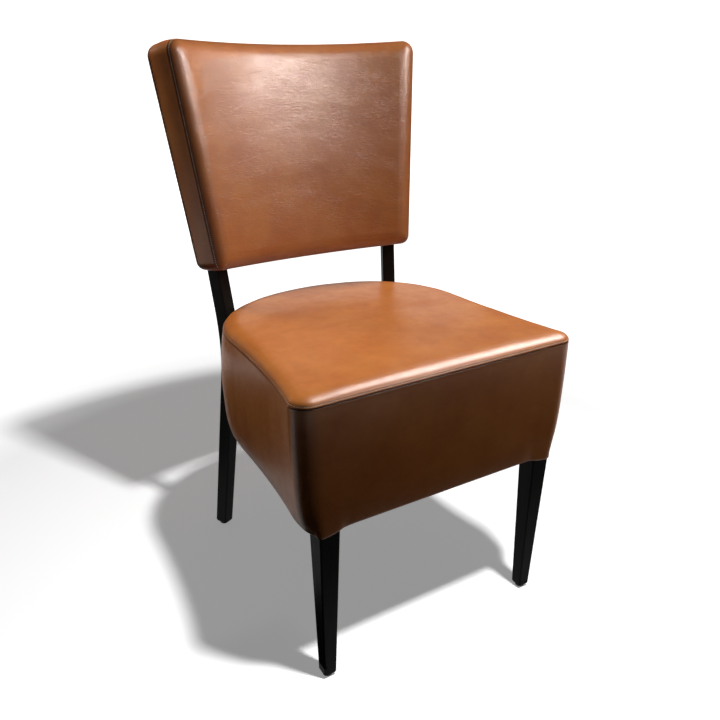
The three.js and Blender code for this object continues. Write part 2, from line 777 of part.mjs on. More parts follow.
function strapBody(profile, place) {
  const shape = new THREE.Shape(profile.map((pair) => new THREE.Vector2(...pair)));
  const strip = new THREE.ExtrudeGeometry(shape, { depth: strapWidth, bevelEnabled: false });
  const position = strip.getAttribute('position');
  for (let i = 0; i < position.count; i += 1) {
    const spot = place(position.getX(i), position.getZ(i) - strapWidth / 2, position.getY(i));
    position.setXYZ(i, spot.x, spot.y, spot.z);
  }
  return common(welded(strip), prism(seatOutline(frameInsets(strapSetback)), frameTop, foamBase));
}

function webbing() {
  const rows = [-1, 0, 1];
  const straps = [];
  rows.forEach((row, i) => {
    const crossings = rows.map((other, k) => (
      { at: crossStrapMiddle + other * crossStrapPitch, over: (i + k) % 2 === 0 }));
    const profile = strapProfile(0, crossings, seatDepth);
    const place = (s, across, z) => new THREE.Vector3(row * strapPitch + across, s, z);
    straps.push([`webbing_lengthwise_${i + 1}`, strapBody(profile, place)]);
  });
  rows.forEach((row, k) => {
    const crossings = rows.map((other, i) => ({ at: other * strapPitch, over: (i + k) % 2 === 1 }));
    const profile = strapProfile(-seatFrontWidth / 2, crossings, seatFrontWidth / 2);
    const place = (s, across, z) => (
      new THREE.Vector3(s, crossStrapMiddle + row * crossStrapPitch + across, z));
    straps.push([`webbing_crosswise_${k + 1}`, strapBody(profile, place)]);
  });
  return straps;
}

// Seat upholstery

const skirtFoot = skirtBottom + skirtRoll;

// Where the leather reaches down over a front leg, it comes in against the leg's faces.
function pulledToLeg(point, strength, depth) {
  const sign = Math.sign(point.x);
  const fromLeg = new THREE.Vector2(Math.abs(point.x), point.y).sub(frontLegMiddle);
  const halfWidth = frontLegWidth / 2 + earGap - depth;
  const halfDepth = frontLegDepth / 2 + earGap - depth;
  const size = Math.abs(fromLeg.x / halfWidth) ** earPower + Math.abs(fromLeg.y / halfDepth) ** earPower;
  fromLeg.multiplyScalar(lerp(1, size ** (-1 / earPower), strength)).add(frontLegMiddle);
  return new THREE.Vector2(sign * fromLeg.x, fromLeg.y);
}

// One ring of the skirt, at a level from the seam down, a depth inside the skin and a drop below.
function skirtRing(level, depth, drop = 0) {
  const legCorner = new THREE.Vector2(frontLegOutside, frontLegFace);
  return seatOutline(skirtInsets(level, depth)).map((flat) => {
    const distance = new THREE.Vector2(Math.abs(flat.x), flat.y).distanceTo(legCorner);
    const strength = shareAt(earShares, level) * smoothstep(earReach - distance, 0, earReach);
    const { x, y } = strength > 0 ? pulledToLeg(flat, strength, depth) : flat;
    return new THREE.Vector3(x, y, lerp(seamHeight(flat.y), skirtFoot, level) - drop - earDrop * strength);
  });
}

// The leather of the skirt: down its outer face, round the lower edge, along the hem and back inside.
function skirtBody() {
  const outside = skirtLevelShares.map((level) => skirtRing(level, 0, level ? 0 : fitGap / 2));
  const inside = skirtLevelShares.map((level) => (
    skirtRing(level, leatherThickness, level ? 0 : fitGap / 2)));
  const rollRing = (angle, radius) => (
    skirtRing(1, skirtRoll - radius * Math.cos(angle), radius * Math.sin(angle)));
  const outerRoll = rollAngles.slice(1).map((angle) => rollRing(angle, skirtRoll));
  const innerRoll = rollAngles.slice(1).map((angle) => rollRing(angle, skirtRoll - leatherThickness));
  const hemEnd = [skirtRing(1, skirtRoll + skirtHem, skirtRoll),
    skirtRing(1, skirtRoll + skirtHem, skirtRoll - leatherThickness)];
  const rings = [...outside, ...outerRoll, ...hemEnd, ...innerRoll.reverse(), ...inside.reverse()];
  const legs = frontLegBody(cutGap);
  const window = legBlockStock(cutGap);
  return cut(loft(rings, { looped: true }), legs, mirrored(legs), window, mirrored(window));
}

function skirtPaddingBody() {
  const depth = leatherThickness + paddingGap;
  const below = skirtLevelShares.filter((level) => level >= foamRimShare && level < 1);
  const levels = [...below, paddingFootShare];
  const outside = levels.map((level, i) => skirtRing(level, depth, i ? 0 : fitGap));
  const foot = lerp(seatSeamHeight, skirtFoot, paddingFootShare);
  const againstFrame = seatOutline(frameInsets(-fitGap));
  const inside = [atHeight(againstFrame, foot), atHeight(againstFrame, frameTop + paddingRise)];
  const legs = frontLegBody(cutGap);
  const window = legBlockStock(cutGap);
  const ring = loft([...outside, ...inside], { looped: true });
  return cut(ring, legs, mirrored(legs), window, mirrored(window));
}

function topRing(inset, rise) {
  const ring = seatOutline(skirtInsets(0, inset));
  return ring.map(({ x, y }) => new THREE.Vector3(x, y, seamHeight(y) + rise));
}

// Rings of the seat's top from its seam to its crown, a thickness below the skin.
function topRings(thickness, lift) {
  const roll = rollAngles.map((angle) => topRing(
    seatRollWidth * (1 - Math.cos(angle)) + thickness * Math.cos(angle),
    (seatRollHeight - thickness) * Math.sin(angle) + lift,
  ));
  const crown = crownShares.map((share) => topRing(
    lerp(seatRollWidth, seatRearArcDepth, share),
    seatRollHeight + seatCrown * Math.sin(share * quarterTurn) - thickness + lift,
  ));
  return [...roll, ...crown];
}

function topTip(ring, thickness, lift) {
  const tip = middleOf(ring);
  return tip.setZ(seamHeight(tip.y) + seatRollHeight + seatCrown - thickness + lift);
}

function seatTopBody() {
  const outside = topRings(0, fitGap / 2);
  const inside = topRings(leatherThickness, fitGap / 2);
  return loft([...outside.toReversed(), ...inside], {
    startTip: topTip(outside.at(-1), 0, fitGap / 2),
    endTip: topTip(inside.at(-1), leatherThickness, fitGap / 2),
  });
}

function seatFoamBody() {
  const thickness = leatherThickness + fitGap;
  const base = atHeight(seatOutline(skirtInsets(foamRimShare, foamRimInset)), foamBase);
  const levels = skirtLevelShares.filter((level) => level > 0 && level <= foamRimShare);
  const wall = levels.toReversed().map((level) => skirtRing(level, thickness));
  const top = topRings(thickness, 0);
  return loft([base, ...wall, ...top], { endTip: topTip(top.at(-1), thickness, 0) });
}

function dustCoverBody() {
  const outline = seatOutline(skirtInsets(1, skirtRoll + skirtHem + dustCoverGap));
  const top = frameBottom - fitGap;
  const legs = frontLegBody(dustCoverGap);
  return cut(prism(outline, top - dustCoverThickness, top), legs, mirrored(legs));
}

// Back pad

const backOrigin = (() => {
  const contactHeight = backBottomHeight - post.low * Math.sin(backLean);
  return new THREE.Vector3(0, postMiddle(contactHeight).y - post.low * Math.cos(backLean), backBottomHeight);
})();
const backMatrix = new THREE.Matrix4().makeRotationX(-backLean).setPosition(backOrigin);
const toBackFrame = backMatrix.clone().invert();

function padPoint(arc, rise, radial) {
  const angle = arc / backRadius;
  const radius = backRadius + radial;
  return new THREE.Vector3(radius * Math.sin(angle), radius * Math.cos(angle) - backRadius, rise);
}

// The flattened outline of the pad: X along the curve, Y up the pad.
function padOutline(inset) {
  const tilt = Math.atan(padSideSlope);
  const halfAt = (rise, distance) => padHalfAt(rise) - distance / Math.cos(tilt);
  const lowRadius = Math.max(backBottomRadius - inset, backInnerRadius);
  const highRadius = Math.max(backTopRadius - inset, backInnerRadius);
  const lowRise = inset + lowRadius;
  const highRise = backHeight - inset - highRadius;
  const low = new THREE.Vector2(halfAt(lowRise, inset + lowRadius), lowRise);
  const high = new THREE.Vector2(halfAt(highRise, inset + highRadius), highRise);
  const onArc = (middle, radius, angle) => (
    new THREE.Vector2(Math.cos(angle), Math.sin(angle)).multiplyScalar(radius).add(middle));
  const half = [];
  for (let i = 0; i < padEdgeSteps; i += 1) {
    half.push(new THREE.Vector2((low.x * i) / padEdgeSteps, inset));
  }
  for (let i = 0; i < padCornerSteps; i += 1) {
    half.push(onArc(low, lowRadius, lerp(-quarterTurn, -tilt, i / padCornerSteps)));
  }
  const sideStart = onArc(low, lowRadius, -tilt);
  const sideEnd = onArc(high, highRadius, -tilt);
  for (let i = 0; i < padSideSteps; i += 1) {
    half.push(sideStart.clone().lerp(sideEnd, i / padSideSteps));
  }
  for (let i = 0; i < padCornerSteps; i += 1) {
    half.push(onArc(high, highRadius, lerp(-tilt, quarterTurn, i / padCornerSteps)));
  }
  for (let i = padEdgeSteps; i >= 0; i -= 1) {
    half.push(new THREE.Vector2((high.x * i) / padEdgeSteps, backHeight - inset));
  }
  return bothHalves(half);
}

const padRing = (inset, radial) => padOutline(inset).map(({ x, y }) => padPoint(x, y, radial));
const padTip = (radial) => padPoint(0, backHeight / 2, radial);

// The two faces of the pad. Outward is the direction of the face along the pad's radius.
const frontFace = {
  seam: 0, outward: -1, rollWidth: backFrontRollWidth, rollHeight: backFrontRollHeight, crown: backFrontCrown,
};
const rearFace = {
  seam: backRearSeam,
  outward: 1,
  rollWidth: backRearRollWidth,
  rollHeight: backRearRollHeight,
  crown: 0,
};

const crownInset = (share) => lerp(backFrontRollWidth, backHeight / 2, share);

// Rings of a face from its seam to its middle, a thickness below the skin.
function faceRings(face, thickness, lift = 0) {
  const radialOf = (rise) => face.seam + face.outward * (rise + lift);
  const roll = rollAngles.map((angle) => padRing(
    face.rollWidth * (1 - Math.cos(angle)) + thickness * Math.cos(angle),
    radialOf((face.rollHeight - thickness) * Math.sin(angle)),
  ));
  const crown = crownShares.map((share) => padRing(
    crownInset(share),
    radialOf(face.rollHeight + face.crown * Math.sin(share * quarterTurn) - thickness),
  ));
  return [...roll, ...crown];
}

function faceTip(face, thickness, lift = 0) {
  return padTip(face.seam + face.outward * (face.rollHeight + face.crown - thickness + lift));
}

function coverBody(face) {
  const outside = faceRings(face, 0, fitGap / 2);
  const inside = faceRings(face, leatherThickness, fitGap / 2);
  return loft([...outside.toReversed(), ...inside], {
    startTip: faceTip(face, 0, fitGap / 2),
    endTip: faceTip(face, leatherThickness, fitGap / 2),
  });
}

// The strip of leather between the two faces, a little fuller between its seams.
function boxingBody(postTools) {
  const shares = [0, 1 / 2, 1];
  const ringAt = (share, depth) => padRing(
    depth - boxingBulge * Math.sin(share * Math.PI),
    lerp(fitGap / 2, backRearSeam - fitGap / 2, share),
  );
  const outside = shares.map((share) => ringAt(share, 0));
  const inside = shares.toReversed().map((share) => ringAt(share, leatherThickness));
  return cut(loft([...outside, ...inside], { looped: true }), ...postTools);
}

// Rings across the inside of the pad that lie parallel to the back panel.
function flatRings(radial) {
  return [panelInset, ...crownShares.map(crownInset)].map((inset) => padRing(inset, radial));
}

function frontFoamBody() {
  const thickness = leatherThickness + fitGap;
  const back = panelFront - fitGap;
  const face = faceRings(frontFace, thickness);
  const rim = padRing(thickness, back);
  return loft([...face.toReversed(), rim, ...flatRings(back)], {
    startTip: faceTip(frontFace, thickness), endTip: padTip(back),
  });
}

function rearFoamBody(tools) {
  const thickness = leatherThickness + fitGap;
  const front = panelBack + fitGap;
  const face = faceRings(rearFace, thickness);
  const rim = padRing(thickness, front);
  const whole = loft([...face.toReversed(), rim, ...flatRings(front)], {
    startTip: faceTip(rearFace, thickness), endTip: padTip(front),
  });
  return cut(whole, ...tools);
}

function panelStock() {
  const front = flatRings(panelFront);
  const back = flatRings(panelBack);
  return loft([...front.toReversed(), ...back], { startTip: padTip(panelFront), endTip: padTip(panelBack) });
}

// Middle of the right-hand post in the pad's frame, at a distance up the pad.
function postInPad(rise) {
  const low = postMiddle(backBottomHeight).applyMatrix4(toBackFrame);
  const high = postMiddle(post.topZ).applyMatrix4(toBackFrame);
  return low.lerp(high, (rise - low.z) / (high.z - low.z));
}

const padAngleOf = ({ x, y }) => Math.atan2(x, backRadius + y);

// A curved rail between the posts, made too long and then fitted to them.
function backRailStock(bottom, grow = 0) {
  const reach = padAngleOf(postInPad(bottom + backRailHeight));
  const front = backRailFront - (grow ? backRailSlack + panelThickness : 0);
  const back = backRailFront + backRailThickness + grow;
  const rings = [];
  for (let i = 0; i <= backRailSteps; i += 1) {
    const arc = lerp(-reach, reach, i / backRailSteps) * backRadius;
    const [low, high] = [bottom - grow, bottom + backRailHeight + grow];
    rings.push([[low, front], [low, back], [high, back], [high, front]]
      .map(([rise, radial]) => padPoint(arc, rise, radial)));
  }
  return loft(rings);
}

// The right-hand tenon of a rail, half in the rail and half in the post.
function tenonBody(bottom, grow = 0) {
  const middle = postInPad(bottom + backRailHeight / 2);
  const angle = padAngleOf(middle);
  const shape = new THREE.BoxGeometry(
    2 * (tenonLength + grow), tenonThickness + 2 * grow, tenonHeight + 2 * grow);
  const shoulder = padPoint(angle * backRadius - postTopWidth / 2, bottom + backRailHeight / 2,
    backRailFront + backRailThickness / 2);
  shape.rotateZ(-angle).translate(shoulder.x, shoulder.y, shoulder.z);
  return welded(shape);
}

function backRailBody(bottom, postTools) {
  const tenon = tenonBody(bottom);
  return join(cut(backRailStock(bottom), ...postTools), tenon, mirrored(tenon));
}

// Countersunk screws that hold the panel to the right-hand post.
function panelScrews() {
  const [lowerGap, upperGap] = panelScrewGaps;
  return [lowerRailBottom + backRailHeight + lowerGap, topRailBottom - upperGap].map((rise) => {
    const angle = padAngleOf(postInPad(rise));
    return {
      head: padPoint(angle * backRadius, rise, panelFront + fitGap),
      axis: new THREE.Vector3(Math.sin(angle), Math.cos(angle), 0),
    };
  });
}

function panelScrewBody({ head, axis }) {
  const cone = panelScrewHeadRadius - panelScrewRadius;
  const profile = [[0, 0], [panelScrewHeadRadius, 0], [panelScrewRadius, cone],
    [panelScrewRadius, panelScrewLength - panelScrewRadius], [0, panelScrewLength]];
  return turnedPiece(profile, boreSides, head, axis);
}

// The way of a screw through the panel and into the post, with its countersink.
function panelScrewBore({ head, axis }) {
  const start = along(head, axis, -overrun);
  const end = along(head, axis, panelScrewLength + holeGap);
  const wide = (panelScrewHeadRadius + holeGap) / Math.cos(Math.PI / boreSides);
  const cone = panelScrewHeadRadius - panelScrewRadius;
  const tip = holeGap + cone;
  const sink = [[0, -overrun], [wide, -overrun], [wide, holeGap], [wide - cone, tip], [0, tip]];
  return join(bore(panelScrewRadius, start, end), turnedPiece(sink, boreSides, head, axis));
}

// Assembly

const chair = new THREE.Group();
chair.name = 'parsons_chair';
const back = new THREE.Group();
back.name = 'back';
back.position.copy(backOrigin);
back.rotation.x = -backLean;
chair.add(back);

function add(group, name, geometry, material) {
  const mesh = new THREE.Mesh(geometry, material);
  mesh.name = name;
  group.add(mesh);
}

function addPair(group, name, geometry, material) {
  add(group, `${name}_right`, geometry, material);
  add(group, `${name}_left`, mirrored(geometry), material);
}

function addLegs() {
  const frontBores = [...dowels.front, ...dowels.side].map(dowelBore);
  addPair(chair, 'front_leg', cut(frontLegBody(), ...frontBores, glideBore(frontFoot)), stainedWood);
  const mortises = [topRailBottom, lowerRailBottom].map((bottom) => tenonBody(bottom, fitGap));
  const screwBores = panelScrews().map(panelScrewBore);
  const fromBack = [...mortises, ...screwBores].map((tool) => moved(tool, backMatrix));
  const rearLeg = cut(rearLegBody(), ...bolts.map(boltBore), ...fromBack, glideBore(rearFoot));
  addPair(chair, 'rear_leg', rearLeg, stainedWood);
  addPair(chair, 'glide_front', glideBody(frontFoot), glidePlastic);
  addPair(chair, 'glide_rear', glideBody(rearFoot), glidePlastic);
}

function addSeatFrame() {
  const halfWidth = seatFrontWidth / 2;
  const screws = cornerScrews();
  const [intoFront, intoSide] = screws.map(cornerScrewBore);
  const frontBores = [...dowels.front.map(dowelBore), intoFront];
  const sideBores = [...dowels.side.map(dowelBore), ...dowels.rear.map(dowelBore), intoSide];
  const rearBores = [...dowels.rear.map(dowelBore), ...bolts.map(boltBore)];
  const onBothSides = (tools) => [...tools, ...tools.map(mirrored)];

  const frontEnd = frontLegInside - fitGap;
  const frontRail = railBetween(-frontEnd, 0, frontEnd, frontLegBack);
  const sideRail = railBetween(0, frontLegBack + fitGap, halfWidth, railJoint - fitGap / 2);
  const rearRail = railBetween(-halfWidth, railJoint + fitGap / 2, halfWidth, seatDepth);
  add(chair, 'seat_rail_front', cut(frontRail, ...onBothSides(frontBores)), beech);
  addPair(chair, 'seat_rail_side', cut(sideRail, ...sideBores), beech);
  add(chair, 'seat_rail_rear', cut(rearRail, ...onBothSides(rearBores)), beech);

  addPair(chair, 'corner_block', cut(cornerBlockStock(), intoFront, intoSide), beech);
  const outsideFrame = prism(seatOutline(frameInsets(-fitGap)), frameBottom, frameTop);
  const legBlock = cut(legBlockStock(), rearLegBody(fitGap), outsideFrame, ...bolts.map(boltBore));
  addPair(chair, 'leg_block', legBlock, stainedWood);

  screws.forEach((screw, i) => addPair(chair, `corner_screw_${i + 1}`, cornerScrewBody(screw), zincSteel));
  bolts.forEach((bolt, i) => addPair(chair, `leg_bolt_${i + 1}`, boltBody(bolt), zincSteel));
  Object.entries(dowels).forEach(([joint, places]) => {
    places.forEach((place, i) => addPair(chair, `dowel_${joint}_${i + 1}`, dowelBody(place), beech));
  });
}

function addSeatUpholstery() {
  webbing().forEach(([name, strap]) => add(chair, name, strap, elasticWebbing));
  add(chair, 'seat_foam', seatFoamBody(), seatFoamFinish);
  add(chair, 'skirt_padding', skirtPaddingBody(), wadding);
  add(chair, 'seat_cover_top', seatTopBody(), leather);
  add(chair, 'seat_cover_skirt', skirtBody(), leather);
  add(chair, 'dust_cover', dustCoverBody(), dustCloth);
}

function addBack() {
  const inPad = (geometry) => moved(geometry, toBackFrame);
  const postWay = inPad(rearLegBody(cutGap));
  const postFit = inPad(rearLegBody(fitGap));
  const postBed = inPad(rearLegBody(cutGap, panelThickness));
  const screws = panelScrews();
  const screwBores = screws.map(panelScrewBore);
  const bothSides = (tools) => [...tools, ...tools.map(mirrored)];

  add(back, 'back_rail_top', backRailBody(topRailBottom, bothSides([postFit])), beech);
  add(back, 'back_rail_lower', backRailBody(lowerRailBottom, bothSides([postFit])), beech);
  add(back, 'back_panel', cut(panelStock(), ...bothSides([postFit, ...screwBores])), plywood);
  screws.forEach((screw, i) => addPair(back, `panel_screw_${i + 1}`, panelScrewBody(screw), zincSteel));

  const rails = [topRailBottom, lowerRailBottom].map((bottom) => backRailStock(bottom, cutGap));
  add(back, 'back_foam_front', frontFoamBody(), seatFoamFinish);
  add(back, 'back_foam_rear', rearFoamBody([...bothSides([postBed]), ...rails]), seatFoamFinish);
  add(back, 'back_cover_front', coverBody(frontFace), leather);
  add(back, 'back_cover_boxing', boxingBody(bothSides([postWay])), leather);
  add(back, 'back_cover_rear', cut(coverBody(rearFace), ...bothSides([postWay])), leather);
}

addLegs();
addSeatFrame();
addSeatUpholstery();
addBack();

// The origin lies under the middle of the chair, on the floor.
chair.updateMatrixWorld(true);
const bounds = new THREE.Box3().setFromObject(chair, true);
chair.position.y = -(bounds.min.y + bounds.max.y) / 2;

export default chair;
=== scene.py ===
import json
import math
from bisect import bisect_right
from itertools import accumulate, pairwise
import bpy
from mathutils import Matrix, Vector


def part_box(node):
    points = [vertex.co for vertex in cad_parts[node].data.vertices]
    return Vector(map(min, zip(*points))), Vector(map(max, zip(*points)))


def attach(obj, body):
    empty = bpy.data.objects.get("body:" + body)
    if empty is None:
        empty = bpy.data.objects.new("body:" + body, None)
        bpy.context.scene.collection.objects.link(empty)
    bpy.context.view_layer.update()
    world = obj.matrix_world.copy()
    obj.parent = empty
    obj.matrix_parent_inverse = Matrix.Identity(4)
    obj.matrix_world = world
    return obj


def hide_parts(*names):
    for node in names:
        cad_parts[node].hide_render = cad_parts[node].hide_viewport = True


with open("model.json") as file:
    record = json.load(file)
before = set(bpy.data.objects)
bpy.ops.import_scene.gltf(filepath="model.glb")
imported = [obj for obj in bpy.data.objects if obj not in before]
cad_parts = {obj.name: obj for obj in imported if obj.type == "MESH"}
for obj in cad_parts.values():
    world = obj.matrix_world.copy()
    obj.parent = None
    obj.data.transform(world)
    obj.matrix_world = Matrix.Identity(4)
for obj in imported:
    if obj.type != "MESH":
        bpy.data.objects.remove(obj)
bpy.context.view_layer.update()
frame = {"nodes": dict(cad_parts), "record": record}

from types import SimpleNamespace

import bmesh
import bpy
from bpy.props import FloatProperty, FloatVectorProperty, IntProperty, PointerProperty
from bpy.types import Operator, Panel, PropertyGroup
from mathutils import Matrix, Vector, noise

bl_info = {
    "name": "Upholstered Parsons Chair",
    "version": (1, 0, 0),
    "blender": (4, 5, 0),
    "location": "3D View > Sidebar > Chair",
    "description": "Leather seat and back pad with sewn seams, round the frame of a side chair",
    "category": "Add Mesh",
}

# Every length is in metres. X runs to the right as seen from the front, Y to the back and Z up.
MM = 0.001
QUARTER = math.pi / 2

# The seat's outline, with its depth counted from the front edge. It follows the CAD model, but is a
# little wider and rounder toward the rear.
SEAT_WIDTH = 480 * MM
SEAT_WAIST_WIDTH = 438 * MM
SEAT_WAIST_SETBACK = 114 * MM
SEAT_REAR_WIDTH = 428 * MM
SEAT_DEPTH = 454 * MM
SEAT_ARC_DEPTH = 190 * MM
SEAT_ARC_START = SEAT_DEPTH - SEAT_ARC_DEPTH
SEAT_CORNER = 26 * MM
SEAT_ARC_POWER = 2.2
SEAT_INNER_CORNER = 12 * MM
SEAT_SIDE_STEPS = 1.75
SEAT_CROWN_POWER = 1.3
SEAT_FRONT_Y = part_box("seat_cover_top")[0][1]
SEAM_HEIGHT = 463 * MM
SEAM_FALL = 6 * MM

# The skirt of the seat. Its shares run from the seam, at 0, to the lower edge, at 1.
SKIRT_ROLL = 6 * MM
SKIRT_FOOT = 274.5 * MM
SKIRT_HEM = 10 * MM
SIDE_BULGE = 11.5 * MM
REAR_BULGE = 2 * MM
FRONT_BULGE = 3 * MM
DRAW_IN = 9 * MM
EAR_DROP = 8.5 * MM
EAR_REACH = 60 * MM
EAR_GAP = 2.5 * MM
EAR_POWER = 8
LEVEL_SHARES = (0, 0.1, 0.27, 0.45, 0.63, 0.82, 0.94, 1)
SIDE_BULGE_SHARES = (0.3, 0.6, 0.88, 1, 0.93, 0.72, 0.3, -0.2)
FRONT_BULGE_SHARES = (0, 0.4, 0.8, 1, 1, 0.8, 0.4, 0)
DRAW_IN_SHARES = (0, 0.02, 0.1, 0.25, 0.42, 0.66, 0.88, 1)
EAR_SHARES = (0, 0, 0, 0, 0, 0.15, 0.5, 1)
EAR_START = LEVEL_SHARES[4]
INSIDE_LEVELS = (1, 0.94, 0.88, 0.82, 0.72, 0.63, 0.54, 0.45, 0.36, 0.27, 0.18, 0.1, 0.05, 0)
SKIRT_MARKS = [k * MM for k in (0, 0.3, 0.7, 1.2, 1.8, 2.6, 3.6, 5, 7, 10)]
SKIRT_STEPS = 36
HEM_TURNS = 6
LINING_GAP = 0.1 * MM
FOAM_LEVEL = 0.45
FOAM_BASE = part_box("seat_foam")[0][2]
FOAM_BASE_INSET = 8 * MM
WADDING_LEVEL = 0.98
WADDING_GAP = 0.8 * MM
FOAM_TO_WADDING = 0.003
FRAME_INSET = (7.7 * MM, 26.7 * MM, 7.7 * MM, 6.7 * MM)

# The front legs, as the skirt comes in against them.
LEG_MIDDLE = Vector((194.7, 18.5)) * MM
LEG_HALF = Vector((16, 16.5)) * MM
UNDER_SEAT = ("front_leg_left", "front_leg_right", "leg_block_left", "leg_block_right")
POSTS = ("rear_leg_left", "rear_leg_right")

# The back pad is a patch of a cylinder that leans back. It is drawn flat, as arc length and rise.
PAD_RADIUS = 578 * MM
PAD_LEAN = math.radians(10.4)
PAD_BOTTOM = 535.2 * MM
PAD_HEIGHT = 354.2 * MM
PAD_HALF_LOW = 194.1 * MM
PAD_HALF_HIGH = 230.8 * MM
PAD_LOW_CORNER = 16 * MM
PAD_HIGH_CORNER = 20 * MM
PAD_INNER_CORNER = 8 * MM
PAD_REAR_SEAM = 44 * MM
PAD_SIDE_STEPS = 1.65
PAD_ROLL_POWER = 1.9
# Share of painted shade over the pad's turned edges, darkest at their seams.
PAD_PAINTED_SHADE = 0.8
PAD_REARMOST = PAD_HEIGHT - 0.8 * MM
PAD_TILT = math.atan((PAD_HALF_HIGH - PAD_HALF_LOW) / PAD_HEIGHT)
PAD_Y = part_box("back_cover_front")[1][1] - PAD_REARMOST * math.sin(PAD_LEAN)
PLYWOOD_FRONT = 20.7 * MM
PLYWOOD_BACK = 25.7 * MM
BOXING_MARKS = [k * MM for k in (0, 0.3, 0.7, 1.2, 1.8, 2.6, 3.4, 3.9, 4.3, 4.7, 5.4, 6.6, 8.2, 10.2,
                                 12.8, 16, 19)]
BOXING_GAP = 0.5 * MM
GATHER_PITCH = 4.6 * MM
GATHER_REACH = 16 * MM
GATHER_SETBACK = 5.5 * MM
GATHER_WIDTH = 4.5 * MM
GATHER_GROUPS = 30 * MM

# The cloth under the seat, its staples and the sewing thread.
DUST_DROP = 0.5 * MM
DUST_SAG = 2.2 * MM
STAPLE_SETBACK = 7 * MM
STAPLE_LENGTH = 10 * MM
STAPLE_WIRE = 0.9 * MM
STAPLE_MIDDLE = -1.6 * MM
STAPLE_END = 1.2 * MM
THREAD_SINK = 0.1 * MM
LEAST_SCALE = 0.9
MOST_SCALE = 1.08

# The waves of the uneven leather and cloth, each as its scale and its height.
SEAT_BROAD_WAVE = (85 * MM, 0.9 * MM)
SEAT_FINE_WAVE = (34 * MM, 0.3 * MM)
SKIRT_BROAD_WAVE = (70 * MM, 0.9 * MM)
SKIRT_TUG_WAVE = (16 * MM, 0.25 * MM)
PAD_BROAD_WAVE = (80 * MM, 0.6 * MM)
PAD_CREASE_WAVE = (15 * MM, 0.18 * MM)
DUST_WAVE = (50 * MM, 0.5 * MM)

# How deep the fine creases of each leather piece are, as shares of the deepest.
SEAT_CREASES = 0.2
SKIRT_CREASES = 0.12
PAD_CREASES = 1.0
BOXING_CREASES = 0.3

FIT_GAP = 0.3 * MM
CUT_GAP = 0.4 * MM
MERGE_DISTANCE = 0.001 * MM
SAME_PLANE = 0.99
DARK_GRAIN = 0.62
NOISE_SEED = 7


def linear(code):
    """Linear colour, with alpha, of an sRGB hex code."""
    shares = [int(code[k:k + 2], 16) / 255 for k in (0, 2, 4)]
    return tuple(c / 12.92 if c <= 0.04045 else ((c + 0.055) / 1.055) ** 2.4 for c in shares) + (1.0,)


def colour(name, description, code):
    return FloatVectorProperty(name=name, description=description, subtype="COLOR", size=4,
                               min=0, max=1, default=linear(code))


def length(name, description, size):
    return FloatProperty(name=name, description=description, default=size, min=0, unit="LENGTH")


class ChairSizes(PropertyGroup):
    """Sizes of the leather work"""

    hide: length("Hide Thickness", "Thickness of the leather", 1.5 * MM)
    seat_roll_width: length("Seat Roll Width", "How far in the seat's top turns over", 26 * MM)
    seat_roll_height: length("Seat Roll Height", "Rise of the turned edge over the seam", 13 * MM)
    seat_crown: length("Seat Crown", "Rise of the middle of the seat over its edge", 7 * MM)
    pad_roll_width: length("Pad Roll Width", "How far in the pad's front turns over", 26 * MM)
    pad_roll_height: length("Pad Roll Height", "Rise of the pad's front over its seam", 12.5 * MM)
    pad_crown: length("Pad Crown", "Rise of the middle of the pad over its edge", 4.5 * MM)
    rear_roll_width: length("Rear Roll Width", "How far in the pad's rear turns over", 20 * MM)
    rear_roll_height: length("Rear Roll Height", "Rise of the pad's rear over its seam", 14 * MM)
    boxing_bulge: length("Boxing Bulge", "Rise of the pad's side strip between its seams", 1.5 * MM)
    seat_setback: length("Seat Stitch Setback", "From the seat's seam to its row of stitches", 4.0 * MM)
    pad_setback: length("Pad Stitch Setback", "From the pad's seams to their rows of stitches", 2.4 * MM)
    allowance: length("Seam Ridge", "Height of the turned seam allowance under the leather", 0.3 * MM)
    pucker: length("Pucker Depth", "Depth of the gathers in the pad's side strip", 0.7 * MM)
    stitch_pitch: length("Stitch Pitch", "From one stitch to the next", 3.6 * MM)
    stitch_length: length("Stitch Length", "Length of thread that shows", 2.9 * MM)
    thread: length("Thread Thickness", "Diameter of the sewing thread", 0.8 * MM)
    pad_thread: length("Pad Thread Thickness", "Diameter of the thread along the pad's front", 1.6 * MM)
    staple_pitch: length("Staple Pitch", "Between the staples of the dust cover", 28 * MM)
    dust_cover: length("Dust Cover Thickness", "Thickness of the cloth under the seat", 0.8 * MM)
    detail: IntProperty(name="Edge Steps", description="Mesh steps along half a front edge", default=46,
                        min=8, max=80)


class ChairColours(PropertyGroup):
    """Colours of the chair's materials"""

    leather: colour("Leather", "Main colour of the hide", "A65D26")
    leather_light: colour("Leather Light", "Where the hide is stretched or worn", "B26C30")
    # The deep colour darkens the mottle and the seams, and is also the painted shade over the pad's turned
    # edges.
    leather_deep_and_painted_shade: colour("Leather Deep", "In seams and hollows", "5A2C14")
    thread: colour("Thread", "Sewing thread of the leather", "EADFCB")
    stain: colour("Leg Stain", "Stained wood of the legs", "181615")
    stain_pores: colour("Leg Pores", "Pores of the stained wood", "0F0D0D")
    beech: colour("Beech", "Wood of the hidden frame", "C79A66")
    plywood: colour("Plywood", "Bent panel inside the back", "CDAE7C")
    foam: colour("Foam", "Upholstery foam", "E3D6A8")
    wadding: colour("Wadding", "Polyester wadding", "E8E6E0")
    webbing: colour("Webbing", "Elastic straps under the seat", "3D3A37")
    dust_cloth: colour("Dust Cloth", "Cloth under the seat", "1B1B1D")
    steel: colour("Steel", "Zinc on screws and staples", "B8B8BA")
    nylon: colour("Nylon", "Glides under the feet", "6B6661")
    floor: colour("Floor", "Studio floor and backdrop", "F6F6F6")


# Small geometry helpers

def lerp(start, end, share):
    return start + (end - start) * share


def smoothstep(value, low, high):
    share = min(max((value - low) / (high - low), 0), 1)
    return share * share * (3 - 2 * share)


